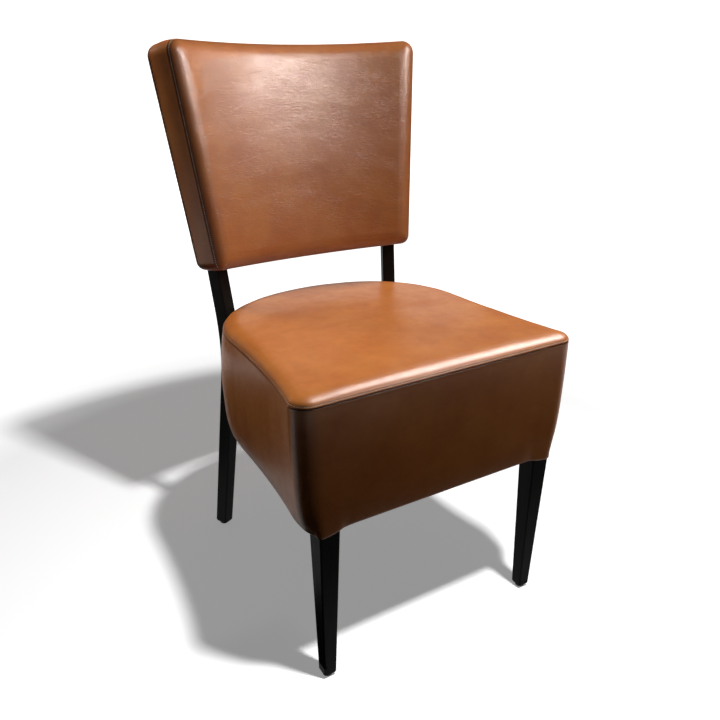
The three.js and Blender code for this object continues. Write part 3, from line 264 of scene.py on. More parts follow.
def share_at(shares, level):
    """A smooth curve through the shares, at a level between 0 and 1."""
    k = min(max(bisect_right(LEVEL_SHARES, level) - 1, 0), len(LEVEL_SHARES) - 2)
    low, high = LEVEL_SHARES[k], LEVEL_SHARES[k + 1]

    def slope(i):
        before, after = max(i - 1, 0), min(i + 1, len(shares) - 1)
        return (shares[after] - shares[before]) / (LEVEL_SHARES[after] - LEVEL_SHARES[before])

    t = (level - low) / (high - low)
    span = high - low
    return ((2 * t ** 3 - 3 * t ** 2 + 1) * shares[k] + (t ** 3 - 2 * t ** 2 + t) * span * slope(k)
            + (3 * t ** 2 - 2 * t ** 3) * shares[k + 1] + (t ** 3 - t ** 2) * span * slope(k + 1))


def bump(place, middle, width):
    return math.exp(-((place - middle) / width) ** 2)


def lengths_along(points):
    """Length of the path from the first of the points to each."""
    return list(accumulate(((b - a).length for a, b in pairwise(points)), initial=0))


def even_stations(point_at, ends, counts):
    """Stations along half an outline, evenly spaced within each stretch between two ends."""
    samples_per_stretch = 600
    stations = []
    for (start, end), count in zip(pairwise(ends), counts):
        samples = [lerp(start, end, i / samples_per_stretch) for i in range(samples_per_stretch + 1)]
        lengths = lengths_along([point_at(sample) for sample in samples])
        for k in range(count):
            wanted = lengths[-1] * k / count
            i = min(bisect_right(lengths, wanted) - 1, samples_per_stretch - 1)
            share = (wanted - lengths[i]) / max(lengths[i + 1] - lengths[i], 1e-12)
            stations.append(lerp(samples[i], samples[i + 1], share))
    return stations + [ends[-1]]


def both_halves(right_half):
    left = [Vector((-p.x, *p[1:])) for p in right_half[-2:0:-1]]
    return list(right_half) + left


def filled(ring, across, along):
    """Rows of points that fill a closed ring, blended from its four sides."""
    count = len(ring)
    low = [ring[(i - across) % count] for i in range(2 * across + 1)]
    right = [ring[across + j] for j in range(along + 1)]
    high = [ring[3 * across + along - i] for i in range(2 * across + 1)]
    left = [ring[(count - across - j) % count] for j in range(along + 1)]
    rows = []
    for j in range(along + 1):
        v = j / along
        row = []
        for i in range(2 * across + 1):
            u = i / (2 * across)
            edges = low[i] * (1 - v) + high[i] * v + left[j] * (1 - u) + right[j] * u
            corners = (low[0] * (1 - u) + low[-1] * u) * (1 - v) + (high[0] * (1 - u) + high[-1] * u) * v
            row.append(edges - corners)
        rows.append(row)
    return rows


class Skin:
    """A mesh that grows ring by ring, with a value at each point for how far its colour is darkened: by the
    seam's dye, and by painted shade over a pad's turned edge.
    """

    def __init__(self):
        self.points = []
        self.faces = []
        self.seam = []

    def ring(self, points, seam=0.0):
        start = len(self.points)
        self.points.extend(points)
        self.seam.extend([seam] * len(points))
        return list(range(start, start + len(points)))

    def bands(self, rings):
        """Quads between closed rings. They face outwards if each ring lies left of the one before."""
        for first, second in pairwise(rings):
            for i in range(len(first)):
                k = (i + 1) % len(first)
                self.faces.append((first[i], first[k], second[k], second[i]))

    def fill(self, ring, flats, place, counts, flip=False):
        """Quads inside a ring, whose points they share. The function places each flat point inside."""
        across, along = counts
        count = len(ring)
        numbers = []
        for j, row in enumerate(filled(flats, across, along)):
            line = []
            for i, flat in enumerate(row):
                if j == 0:
                    line.append(ring[(i - across) % count])
                elif j == along:
                    line.append(ring[3 * across + along - i])
                elif i == 2 * across:
                    line.append(ring[across + j])
                elif i == 0:
                    line.append(ring[(count - across - j) % count])
                else:
                    line.extend(self.ring([place(flat)]))
            numbers.append(line)
        for low, high in pairwise(numbers):
            for i in range(2 * across):
                face = (low[i], low[i + 1], high[i + 1], high[i])
                self.faces.append(face[::-1] if flip else face)

    def flip(self):
        self.faces = [face[::-1] for face in self.faces]

    def object(self, name, material, creases=0.0):
        mesh = bpy.data.meshes.new(name)
        mesh.from_pydata(self.points, [], self.faces)
        for label, values in (("seam", self.seam), ("creases", [creases] * len(self.points))):
            mesh.attributes.new(label, "FLOAT", "POINT").data.foreach_set("value", values)
        mesh.shade_smooth()
        mesh.materials.append(material)
        return new_object(name, mesh)


def new_object(name, data):
    thing = bpy.data.objects.new(name, data)
    bpy.context.scene.collection.objects.link(thing)
    return thing


def merged_copy(node, gap):
    """A closed copy of a CAD piece, grown by a gap, to cut a way for it."""
    shape = bmesh.new()
    shape.from_mesh(frame["nodes"][node].data)
    bmesh.ops.remove_doubles(shape, verts=shape.verts, dist=MERGE_DISTANCE)
    bmesh.ops.dissolve_degenerate(shape, edges=shape.edges, dist=MERGE_DISTANCE)
    shape.normal_update()
    for vert in shape.verts:
        normals = []
        for face in vert.link_faces:
            if all(face.normal.dot(other) < SAME_PLANE for other in normals):
                normals.append(face.normal.copy())
        vert.co += sum(normals, Vector()) * gap
    mesh = bpy.data.meshes.new(f"way_for_{node}")
    shape.to_mesh(mesh)
    shape.free()
    return new_object(mesh.name, mesh)


def freeze(piece):
    """Turn a piece with its modifiers into a plain mesh."""
    depsgraph = bpy.context.evaluated_depsgraph_get()
    mesh = bpy.data.meshes.new_from_object(piece.evaluated_get(depsgraph))
    old = piece.data
    piece.modifiers.clear()
    piece.data = mesh
    mesh.name = piece.name
    if old.users == 0:
        bpy.data.meshes.remove(old)


def cut(piece, *nodes):
    """Cut a way through a piece for each of these CAD pieces."""
    tools = [merged_copy(node, CUT_GAP) for node in nodes]
    for tool in tools:
        modifier = piece.modifiers.new("Way", "BOOLEAN")
        modifier.object = tool
        modifier.operation = "DIFFERENCE"
        modifier.solver = "EXACT"
    freeze(piece)
    for tool in tools:
        bpy.data.meshes.remove(tool.data)


def make_sleeve(name, skin, rings, material, creases, *nodes):
    """A piece that closes round from its last ring to its first, with ways for CAD pieces."""
    skin.bands(rings + [rings[0]])
    skin.flip()
    piece = skin.object(name, material, creases)
    cut(piece, *nodes)
    return piece


def settle(piece, slot, *nodes):
    """Let a piece ride on the chair in the place of its CAD nodes."""
    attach(piece, "root")
    if nodes:
        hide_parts(*nodes)
    return piece


# The seam: the two leathers turn in, with a ridge of folded allowance and a sewn groove beside it

SEAM_MARKS = [k * MM for k in (0, 0.4, 0.8, 1.4, 2.1, 2.8, 3.3, 3.7, 4.0, 4.3, 4.6, 5.0, 5.5, 6.4, 7.8, 9.8,
                               12.2, 15, 18.5, 22.5)]
ROLL_STEPS = 200
INNER_ROLL_STEPS = 12

# Waves across a seam, each as its height, the distance of its middle from the seam, and its width.
PANEL_GROOVE = (-1.3 * MM, 0, 0.75 * MM)
SKIRT_EDGE = ((-0.7 * MM, 0, 0.5 * MM), (0.1 * MM, 2.6 * MM, 1.6 * MM))
BOXING_EDGE = ((-1.2 * MM, 0, 0.6 * MM), (0.3 * MM, 2.4 * MM, 1.6 * MM))
SEWN_DEPTH = 0.35 * MM
SEWN_WIDTH = 0.5 * MM
PUFF_HEIGHT = 0.25 * MM

# The darker dye of the seams: its widths beside a panel's seam, the skirt's and the side strip's, its
# share in the sewn groove, and the width of the painted shade over a pad's turned edge.
DYE_WIDTH = 1.1 * MM
SKIRT_DYE_WIDTH = 1.2 * MM
BOXING_DYE_WIDTH = 0.9 * MM
SEWN_DYE = 0.7
PAINTED_SHADE_WIDTH = 13 * MM


def relief(distance, waves):
    """Height of the leather over its plain shape at a distance from the seam."""
    return sum(height * bump(distance, middle, width) for height, middle, width in waves)


def roll_curve(width, height, power, steps):
    """A turned edge in section, as inset and rise: a quarter ellipse at power 2, flatter below it."""
    points = []
    for i in range(steps + 1):
        angle = QUARTER * i / steps
        across, up = (max(share, 0) ** (2 / power) for share in (math.cos(angle), math.sin(angle)))
        points.append(Vector((width * (1 - across), height * up)))
    return points


def roll_profile(panel, marks, sizes):
    """Inset, rise and darkening at each mark along a panel's turned edge, from its seam to its top: the
    seam's dye, with the panel's painted shade added.
    """
    setback = panel.setback
    waves = (PANEL_GROOVE, (sizes.allowance, setback / 2, setback / 2.6), (-SEWN_DEPTH, setback, SEWN_WIDTH),
             (PUFF_HEIGHT, 2.2 * setback, setback))
    points = roll_curve(*panel.roll, ROLL_STEPS)
    lengths = lengths_along(points)
    profile = []
    for mark in [m for m in marks if m < lengths[-1] - MM] + [lengths[-1]]:
        i = min(bisect_right(lengths, mark) - 1, len(points) - 2)
        share = (mark - lengths[i]) / (lengths[i + 1] - lengths[i])
        run = points[i + 1] - points[i]
        normal = Vector((-run.y, run.x)).normalized()
        point = points[i] + run * share + normal * relief(mark, waves)
        dye = bump(mark, 0, DYE_WIDTH) + SEWN_DYE * bump(mark, setback, SEWN_WIDTH)
        # The panel's shade adds painted shade, darkest at the seam and fading over the turned edge.
        profile.append((*point, min(1.0, dye + panel.shade * bump(mark, 0, PAINTED_SHADE_WIDTH))))
    return profile


def inner_profile(roll, thickness):
    """The same turned edge, a thickness below its skin and without the seam's relief."""
    width, height, power = roll
    points = roll_curve(width - thickness, height - thickness, power, INNER_ROLL_STEPS)
    return [(point.x + thickness, point.y, 0.0) for point in points]


def groove_path(panel, sizes):
    """The path of a row of stitches, a little below the floor of its sewn groove."""
    inset, rise, _ = roll_profile(panel, [panel.setback], sizes)[0]
    return [panel.surface(flat, rise - THREAD_SINK) for flat in panel.ring(inset)]


def undulation(point, scale, height):
    """Soft unevenness of leather over foam."""
    at = Vector(point) / scale + Vector((NOISE_SEED, 0, 0))
    return height * noise.noise(at)


# A panel has a turned edge all round. Its ring() gives the flat outline at an inset, surface() the place
# of a flat point at a rise over the seam, its shade is the share of painted shade over the turned edge,
# and the rest are its sizes and looks.

def lay_panel(skin, panel, profile, flip=False):
    """Rings over a panel's turned edge, then a filled middle. Returns its rings of numbers."""
    rings = [skin.ring([panel.surface(flat, rise) for flat in panel.ring(inset)], seam)
             for inset, rise, seam in profile]
    skin.bands(rings[::-1] if flip else rings)
    inset, rise, _ = profile[-1]
    skin.fill(rings[-1], panel.ring(inset), lambda flat: panel.surface(flat, rise), panel.counts, flip)
    return rings


def make_cover(name, panel, sizes, material):
    """The leather of a panel, with its inner side a hide's thickness below."""
    skin = Skin()
    outside = lay_panel(skin, panel, roll_profile(panel, SEAM_MARKS, sizes))
    inside = lay_panel(skin, panel, inner_profile(panel.roll, sizes.hide), flip=True)
    skin.bands([inside[0], outside[0]])
    if panel.faces_back:
        skin.flip()
    return skin.object(name, material, panel.creases)


# Seat

def seat_point(station, inset=(0, 0, 0, 0)):
    """A point of the seat's outline: along the front to 1, the corner to 2, the side to 3, the rear to 4."""
    front, front_side, rear_side, rear = inset
    radius = max(SEAT_CORNER - front, SEAT_INNER_CORNER)
    corner = Vector((SEAT_WIDTH / 2 - front_side - radius, front + radius))
    if station < 1:
        return Vector((corner.x * station, front))
    if station < 2:
        angle = (station - 2) * QUARTER
        return corner + radius * Vector((math.cos(angle), math.sin(angle)))
    end = Vector((SEAT_REAR_WIDTH / 2 - rear_side, SEAT_ARC_START))
    if station < 3:
        start = corner + Vector((radius, 0))
        waist_x = (SEAT_WAIST_WIDTH - front_side - rear_side) / 2
        waist = Vector((waist_x, max(SEAT_WAIST_SETBACK, corner.y)))
        t = station - 2
        return start * (1 - t) ** 2 + waist * (2 * t * (1 - t)) + end * t ** 2
    angle = (station - 3) * QUARTER
    across, back = (max(share, 0) ** (2 / SEAT_ARC_POWER) for share in (math.cos(angle), math.sin(angle)))
    return Vector((end.x * across, end.y + (SEAT_ARC_DEPTH - rear) * back))


def seat_counts(sizes):
    """Mesh steps along half of the seat's front or rear, and along its side."""
    return sizes.detail, round(sizes.detail * SEAT_SIDE_STEPS)


def seat_stations(sizes):
    across, along = seat_counts(sizes)
    return even_stations(seat_point, (0, 1.5, 3.5, 4), (across, along, across))


def skirt_inset(level, depth):
    side = share_at(SIDE_BULGE_SHARES, level)
    return (
        depth - FRONT_BULGE * share_at(FRONT_BULGE_SHARES, level),
        depth + DRAW_IN * share_at(DRAW_IN_SHARES, level),
        depth - SIDE_BULGE * side,
        depth - REAR_BULGE * side,
    )


def seam_z(depth):
    return SEAM_HEIGHT - SEAM_FALL * depth / SEAT_DEPTH


def in_row(x, depth, z):
    """From the seat's own depth to the place in the row's frame."""
    return Vector((x, depth + SEAT_FRONT_Y, z))


def crown_share(flat):
    """Share of the seat's crown at a point, from 0 at its edge to 1 in its middle."""
    middle = SEAT_DEPTH / 2
    half_width = lerp(SEAT_WIDTH, SEAT_REAR_WIDTH, smoothstep(flat.y, 0, SEAT_ARC_START)) / 2
    side = abs(flat.x) / half_width
    rear = max(flat.y - SEAT_ARC_START, 0) / SEAT_ARC_DEPTH
    front = max(middle - flat.y, 0) / middle
    edge = min((side ** 2 + rear ** 2) ** SEAT_CROWN_POWER, 1)
    return (1 - edge) * (1 - front ** 3)


def seat_surface(flat, rise, sizes):
    crown = sizes.seat_crown * crown_share(flat)
    roll = smoothstep(rise, 0, sizes.seat_roll_height)
    soft = undulation((flat.x, flat.y, 0), *SEAT_BROAD_WAVE)
    soft += undulation((flat.x, flat.y * 1.6, 3), *SEAT_FINE_WAVE)
    return in_row(flat.x, flat.y, seam_z(flat.y) + rise + crown + soft * roll)


def seat_ring(stations, inset):
    return both_halves([seat_point(station, inset) for station in stations])


def seat_panel(sizes):
    stations = seat_stations(sizes)
    return SimpleNamespace(
        counts=seat_counts(sizes), roll=(sizes.seat_roll_width, sizes.seat_roll_height, 2),
        setback=sizes.seat_setback, thread=sizes.thread, shade=0.0, creases=SEAT_CREASES, faces_back=False,
        ring=lambda inset: seat_ring(stations, skirt_inset(0, inset)),
        surface=lambda flat, rise: seat_surface(flat, rise, sizes))


def ear_strength(flat, level):
    corner = LEG_MIDDLE + Vector((LEG_HALF.x, -LEG_HALF.y))
    distance = (Vector((abs(flat.x), flat.y)) - corner).length
    return share_at(EAR_SHARES, level) * smoothstep(EAR_REACH - distance, 0, EAR_REACH)


def pulled_to_leg(flat, strength, depth):
    """Where the leather reaches down over a front leg, it comes in against the leg's faces."""
    from_leg = Vector((abs(flat.x), flat.y)) - LEG_MIDDLE
    half = LEG_HALF + Vector((EAR_GAP - depth, EAR_GAP - depth))
    size = abs(from_leg.x / half.x) ** EAR_POWER + abs(from_leg.y / half.y) ** EAR_POWER
    place_on = from_leg * lerp(1, size ** (-1 / EAR_POWER), strength) + LEG_MIDDLE
    return Vector((math.copysign(place_on.x, flat.x), place_on.y))


def skirt_ring(stations, level, depth, drop=0.0, rise=0.0):
    """One ring of the skirt: a level from the seam down, a depth inside the skin, a drop below and the
    leather's rise over its plain shape."""
    ring = []
    for flat in seat_ring(stations, skirt_inset(level, depth - rise)):
        strength = ear_strength(flat, level) if level > EAR_START else 0
        z = lerp(seam_z(flat.y), SKIRT_FOOT, level) - drop - EAR_DROP * strength
        open_leather = smoothstep(level, 0.02, 0.2) * smoothstep(1 - level, 0, 0.1) * (depth == 0)
        if open_leather:
            soft = undulation((flat.x, flat.y, z * 0.45), *SKIRT_BROAD_WAVE)
            tug = undulation((flat.x, flat.y, z * 0.12), *SKIRT_TUG_WAVE)
            outwards = Vector((flat.x, flat.y - SEAT_DEPTH / 2)).normalized()
            flat = flat + outwards * (soft + tug) * open_leather
        if strength > 0:
            flat = pulled_to_leg(flat, strength, depth)
        ring.append(in_row(flat.x, flat.y, z))
    return ring


def skirt_levels():
    """Levels, rise and dye down the skirt: close together at the seam, then about 5 mm apart."""
    tall = SEAM_HEIGHT - SKIRT_FOOT
    rows = [(mark / tall, relief(mark, SKIRT_EDGE), bump(mark, 0, SKIRT_DYE_WIDTH)) for mark in SKIRT_MARKS]
    first = rows[-1][0]
    return rows + [(lerp(first, 1, k / SKIRT_STEPS), 0.0, 0.0) for k in range(1, SKIRT_STEPS + 1)]


def make_seat_skirt(sizes, material):
    skin = Skin()
    stations = seat_stations(sizes)

    def ring(*place, dye=0.0):
        return skin.ring(skirt_ring(stations, *place), dye)

    rings = [ring(level, 0, FIT_GAP / 2 * (level == 0), rise, dye=dye) for level, rise, dye in skirt_levels()]
    turns = [QUARTER * k / HEM_TURNS for k in range(1, HEM_TURNS + 1)]
    rings += [ring(1, SKIRT_ROLL * (1 - math.cos(turn)), SKIRT_ROLL * math.sin(turn)) for turn in turns]
    rings += [ring(1, SKIRT_ROLL + share * SKIRT_HEM, SKIRT_ROLL) for share in (0.33, 0.67, 1)]
    inner = SKIRT_ROLL - sizes.hide
    rings.append(ring(1, SKIRT_ROLL + SKIRT_HEM, inner))
    rings += [ring(1, SKIRT_ROLL - inner * math.cos(turn), inner * math.sin(turn)) for turn in turns[::-1]]
    rings += [ring(level, sizes.hide + LINING_GAP, FIT_GAP / 2 * (level == 0)) for level in INSIDE_LEVELS]
    return make_sleeve("seat_skirt", skin, rings, material, SKIRT_CREASES, *UNDER_SEAT)


def make_seat_cushion(sizes, material):
    """The block of foam on the webbing, in the shape that the leather gives it."""
    skin = Skin()
    panel = seat_panel(sizes)
    stations = seat_stations(sizes)
    depth = sizes.hide + 2 * FIT_GAP
    rings = lay_panel(skin, panel, inner_profile(panel.roll, depth))
    wall = [skin.ring(skirt_ring(stations, FOAM_LEVEL * k / 10, depth)) for k in range(1, 11)]
    flats = seat_ring(stations, skirt_inset(FOAM_LEVEL, FOAM_BASE_INSET))

    def on_base(flat):
        return in_row(flat.x, flat.y, FOAM_BASE)

    base = skin.ring([on_base(flat) for flat in flats])
    skin.bands([base, *reversed(wall), rings[0]])
    skin.fill(base, flats, on_base, panel.counts, flip=True)
    return skin.object("seat_cushion", material)


def make_skirt_wadding(sizes, material):
    """The loose fill between the leather and the rails."""
    skin = Skin()
    stations = seat_stations(sizes)
    levels = [lerp(FOAM_LEVEL + FOAM_TO_WADDING, WADDING_LEVEL, k / 14) for k in range(15)]
    rings = [skin.ring(skirt_ring(stations, level, sizes.hide + WADDING_GAP)) for level in levels]
    low = lerp(SEAM_HEIGHT, SKIRT_FOOT, WADDING_LEVEL)
    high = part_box("skirt_padding")[1][2] - FIT_GAP
    for z in (lerp(low, high, k / 4) for k in range(5)):
        rings.append(skin.ring([in_row(flat.x, flat.y, z) for flat in seat_ring(stations, FRAME_INSET)]))
    return make_sleeve("skirt_wadding", skin, rings, material, 0.0, *UNDER_SEAT)


# Back pad

def pad_point(station, inset=0.0):
    """A point of the flat pad: bottom to 1, corner to 2, side to 3, corner to 4, top to 5."""
    low_radius = max(PAD_LOW_CORNER - inset, PAD_INNER_CORNER)
    high_radius = max(PAD_HIGH_CORNER - inset, PAD_INNER_CORNER)

    def corner(radius, rise):
        half = lerp(PAD_HALF_LOW, PAD_HALF_HIGH, rise / PAD_HEIGHT)
        return Vector((half - (inset + radius) / math.cos(PAD_TILT), rise))

    low = corner(low_radius, inset + low_radius)
    high = corner(high_radius, PAD_HEIGHT - inset - high_radius)

    def round_corner(middle, radius, angle):
        return middle + radius * Vector((math.cos(angle), math.sin(angle)))

    if station < 1:
        return Vector((low.x * station, inset))
    if station < 2:
        return round_corner(low, low_radius, lerp(-QUARTER, -PAD_TILT, station - 1))
    if station < 3:
        start = round_corner(low, low_radius, -PAD_TILT)
        return start.lerp(round_corner(high, high_radius, -PAD_TILT), station - 2)
    if station < 4:
        return round_corner(high, high_radius, lerp(-PAD_TILT, QUARTER, station - 3))
    return Vector((high.x * (5 - station), PAD_HEIGHT - inset))


def pad_place(flat, radial):
    """From the flat pad to the row's frame, at a distance behind the front seam's cylinder."""
    angle = flat.x / PAD_RADIUS
    radius = PAD_RADIUS + radial
    x = radius * math.sin(angle)
    y = radius * math.cos(angle) - PAD_RADIUS
    z = flat.y
    return Vector((
        x,
        y * math.cos(PAD_LEAN) + z * math.sin(PAD_LEAN) + PAD_Y,
        z * math.cos(PAD_LEAN) - y * math.sin(PAD_LEAN) + PAD_BOTTOM,
    ))


def pad_counts(sizes):
    """Mesh steps along half of the pad's bottom or top, and along its side."""
    return sizes.detail, round(sizes.detail * PAD_SIDE_STEPS)


def pad_stations(sizes, finer=1):
    across, along = pad_counts(sizes)
    return even_stations(pad_point, (0, 1.5, 3.5, 5), (across * finer, along * finer, across * finer))


def pad_ring(stations, inset):
    return both_halves([pad_point(station, inset) for station in stations])


def pad_crown_share(flat):
    """Share of the pad's crown at a point, from 0 at its edge to 1 in its middle."""
    half = lerp(PAD_HALF_LOW, PAD_HALF_HIGH, flat.y / PAD_HEIGHT)
    side = min(abs(flat.x) / half, 1)
    tall = min(abs(2 * flat.y / PAD_HEIGHT - 1), 1)
    return (1 - side ** 4) * (1 - tall ** 2)


def pad_panel(sizes, rear=False):
    stations = pad_stations(sizes)
    if rear:
        seam, outward, crown, thread = PAD_REAR_SEAM, 1, 0.0, sizes.thread
        roll = (sizes.rear_roll_width, sizes.rear_roll_height, 2)
    else:
        seam, outward, crown, thread = 0.0, -1, sizes.pad_crown, sizes.pad_thread
        roll = (sizes.pad_roll_width, sizes.pad_roll_height, PAD_ROLL_POWER)

    def surface(flat, rise):
        soft = undulation((flat.x * 0.8, flat.y, seam * 50), *PAD_BROAD_WAVE)
        creases = undulation((flat.x * 0.5, flat.y, 5), *PAD_CREASE_WAVE)
        uneven = (soft + creases) * smoothstep(rise, 0, roll[1])
        return pad_place(flat, seam + outward * (rise + crown * pad_crown_share(flat) + uneven))

    return SimpleNamespace(counts=pad_counts(sizes), roll=roll, seam=seam, setback=sizes.pad_setback,
                           thread=thread, shade=PAD_PAINTED_SHADE, creases=PAD_CREASES, faces_back=rear,
                           ring=lambda inset: pad_ring(stations, inset), surface=surface)


def boxing_rows(sizes):
    """Distance behind the front seam, outward rise and dye of each ring of the side strip."""
    rows = []
    for mark in BOXING_MARKS + [PAD_REAR_SEAM / 2] + [PAD_REAR_SEAM - m for m in BOXING_MARKS[::-1]]:
        edge = min(mark, PAD_REAR_SEAM - mark)
        bulge = sizes.boxing_bulge * math.sin(math.pi * mark / PAD_REAR_SEAM)
        rows.append((mark, relief(edge, BOXING_EDGE) + bulge, bump(edge, 0, BOXING_DYE_WIDTH)))
    return rows


def gather(along, mark, flat, sizes):
    """The gathers of the side strip, which are deepest beside the front seam and near the top."""
    wave = noise.noise(Vector((along / GATHER_PITCH, mark / GATHER_REACH, NOISE_SEED)))
    slow = noise.noise(Vector((along / GATHER_GROUPS, 0, 3)))
    rear_mark = PAD_REAR_SEAM - mark
    across = bump(mark, GATHER_SETBACK, GATHER_WIDTH) + 0.45 * bump(rear_mark, GATHER_SETBACK, GATHER_WIDTH)
    high = lerp(0.35, 1, smoothstep(flat.y, 0.35 * PAD_HEIGHT, 0.95 * PAD_HEIGHT))
    return sizes.pucker * wave * (0.8 + 0.6 * slow) * across * high


def make_boxing(sizes, material):
    skin = Skin()
    stations = pad_stations(sizes, finer=3)
    plain = pad_ring(stations, 0)
    lengths = lengths_along(plain)
    first, last = FIT_GAP / 2, PAD_REAR_SEAM - FIT_GAP / 2
    rings = []
    for mark, rise, dye in boxing_rows(sizes):
        points = []
        for flat, base, along in zip(pad_ring(stations, -rise), plain, lengths):
            outwards = (flat - Vector((0, PAD_HEIGHT / 2))).normalized()
            gathered = flat + outwards * gather(along, mark, base, sizes)
            points.append(pad_place(gathered, min(max(mark, first), last)))
        rings.append(skin.ring(points, dye))
    for share in (1, 0.75, 0.5, 0.25, 0):
        bulge = sizes.boxing_bulge * math.sin(math.pi * share)
        flats = pad_ring(stations, sizes.hide + BOXING_GAP - bulge)
        rings.append(skin.ring([pad_place(flat, lerp(first, last, share)) for flat in flats]))
    return make_sleeve("back_boxing", skin, rings, material, BOXING_CREASES, *POSTS)


def make_back_cushion(name, panel, sizes, back, material):
    """The foam on one side of the plywood, with its flat side parallel to that."""
    skin = Skin()
    depth = sizes.hide + 2 * FIT_GAP
    rings = lay_panel(skin, panel, inner_profile(panel.roll, depth))
    flats = panel.ring(depth)
    rim = [skin.ring([pad_place(flat, lerp(panel.seam, back, share)) for flat in flats])
           for share in (0.5, 1)]
    skin.bands([rim[1], rim[0], rings[0]])
    skin.fill(rim[1], flats, lambda flat: pad_place(flat, back), panel.counts, flip=True)
    if panel.faces_back:
        skin.flip()
    return skin.object(name, material)


# Sewing thread and staples, laid along a path by Geometry Nodes

def add_node(tree, kind, inputs=None, **settings):
    """Add a node with its settings and inputs."""
    node = tree.nodes.new(kind)
    for name, value in settings.items():
        setattr(node, name, value)
    set_inputs(tree, node, inputs or {})
    return node


def set_inputs(tree, node, inputs):
    """Set a node's inputs by name or number, or link them to the outputs given."""
    for name, value in inputs.items():
        if isinstance(value, bpy.types.NodeSocket):
            tree.links.new(value, node.inputs[name])
        else:
            node.inputs[name].default_value = value


def new_geometry_tree(name, lengths):
    """An empty tree with a geometry input and output and named length inputs."""
    tree = bpy.data.node_groups.new(name, "GeometryNodeTree")
    tree.interface.new_socket("Geometry", in_out="INPUT", socket_type="NodeSocketGeometry")
    tree.interface.new_socket("Geometry", in_out="OUTPUT", socket_type="NodeSocketGeometry")
    for label, size in lengths.items():
        socket = tree.interface.new_socket(label, in_out="INPUT", socket_type="NodeSocketFloat")
        socket.subtype = "DISTANCE"
        socket.default_value = size
    tree.interface.new_socket("Material", in_out="INPUT", socket_type="NodeSocketMaterial")
    return tree


def row_tree(name, lengths, make_copy):
    """A tree that lays copies along a path, each turned to the path. make_copy gives the one copied."""
    tree = new_geometry_tree(name, lengths)
    given = tree.nodes.new("NodeGroupInput").outputs
    curve = add_node(tree, "GeometryNodeMeshToCurve", {"Mesh": given["Geometry"]})
    points = add_node(tree, "GeometryNodeCurveToPoints",
                      {"Curve": curve.outputs[0], "Length": given["Pitch"]}, mode="LENGTH").outputs
    turn = add_node(tree, "FunctionNodeAlignRotationToVector", {"Vector": points["Tangent"]}, axis="X")
    size = add_node(tree, "FunctionNodeRandomValue",
                    {2: LEAST_SCALE, 3: MOST_SCALE, "Seed": NOISE_SEED}, data_type="FLOAT")
    copies = add_node(tree, "GeometryNodeInstanceOnPoints", {
        "Points": points["Points"], "Instance": make_copy(tree, given),
        "Rotation": turn.outputs[0], "Scale": size.outputs[1]})
    real = add_node(tree, "GeometryNodeRealizeInstances", {"Geometry": copies.outputs[0]})
    smooth = add_node(tree, "GeometryNodeSetShadeSmooth", {"Geometry": real.outputs[0]})
    finish = add_node(tree, "GeometryNodeSetMaterial",
                      {"Geometry": smooth.outputs[0], "Material": given["Material"]})
    add_node(tree, "NodeGroupOutput", {"Geometry": finish.outputs[0]})
    return tree


def one_stitch(tree, given):
    """A short length of thread that dips into the leather at both ends."""
    ball = add_node(tree, "GeometryNodeMeshUVSphere", {"Segments": 6, "Rings": 6, "Radius": 0.5})
    scale = add_node(tree, "ShaderNodeCombineXYZ",
                     {"X": given["Length"], "Y": given["Thickness"], "Z": given["Thickness"]})
    return add_node(tree, "GeometryNodeTransform",
                    {"Geometry": ball.outputs[0], "Scale": scale.outputs[0]}).outputs[0]


def one_staple(tree, given):
    """The crown of a wire staple, bent down at its ends."""
    half, left, radius = (
        add_node(tree, "ShaderNodeMath", {0: given[size], 1: share}, operation="MULTIPLY").outputs[0]
        for size, share in (("Length", 0.5), ("Length", -0.5), ("Thickness", 0.5)))
    start, middle, end = (
        add_node(tree, "ShaderNodeCombineXYZ", {"X": x, "Z": z}).outputs[0]
        for x, z in ((left, STAPLE_END), (0.0, STAPLE_MIDDLE), (half, STAPLE_END)))
    wire = add_node(tree, "GeometryNodeCurveQuadraticBezier",
                    {"Resolution": 6, "Start": start, "Middle": middle, "End": end})
    section = add_node(tree, "GeometryNodeCurvePrimitiveCircle", {"Resolution": 6, "Radius": radius})
    return add_node(tree, "GeometryNodeCurveToMesh", {
        "Curve": wire.outputs[0], "Profile Curve": section.outputs[0], "Fill Caps": True}).outputs[0]


def lay_row(name, tree, path, values, material):
    """Run a tree along a closed path and keep the result as a plain mesh."""
    mesh = bpy.data.meshes.new(name)
    mesh.from_pydata(path, [(i, (i + 1) % len(path)) for i in range(len(path))], [])
    piece = new_object(name, mesh)
    modifier = piece.modifiers.new("Row", "NODES")
    modifier.node_group = tree
    given = {**values, "Material": material}
    for item in tree.interface.items_tree:
        if item.in_out == "INPUT" and item.name in given:
            modifier[item.identifier] = given[item.name]
    freeze(piece)
    return piece


def stitch_values(sizes, thread):
    return {"Pitch": sizes.stitch_pitch, "Length": sizes.stitch_length, "Thickness": thread}


# Materials

def new_material(name, kind="ShaderNodeBsdfPrincipled"):
    """A material with one shader. Returns it with its tree and its shader."""
    material = bpy.data.materials.new(name)
    material.use_nodes = True
    tree = material.node_tree
    tree.nodes.clear()
    shader = tree.nodes.new(kind)
    add_node(tree, "ShaderNodeOutputMaterial", {"Surface": shader.outputs[0]})
    return material, tree, shader


def pattern(tree, kind, size, stretch=(1, 1, 1), output=0, **inputs):
    """A texture on Object coordinates whose cells or grain are a real size across."""
    place_at = add_node(tree, "ShaderNodeTexCoord").outputs["Object"]
    mapping = add_node(tree, "ShaderNodeMapping", {"Vector": place_at, "Scale": [s / size for s in stretch]})
    return add_node(tree, kind, {"Vector": mapping.outputs[0], "Scale": 1.0, **inputs}).outputs[output]


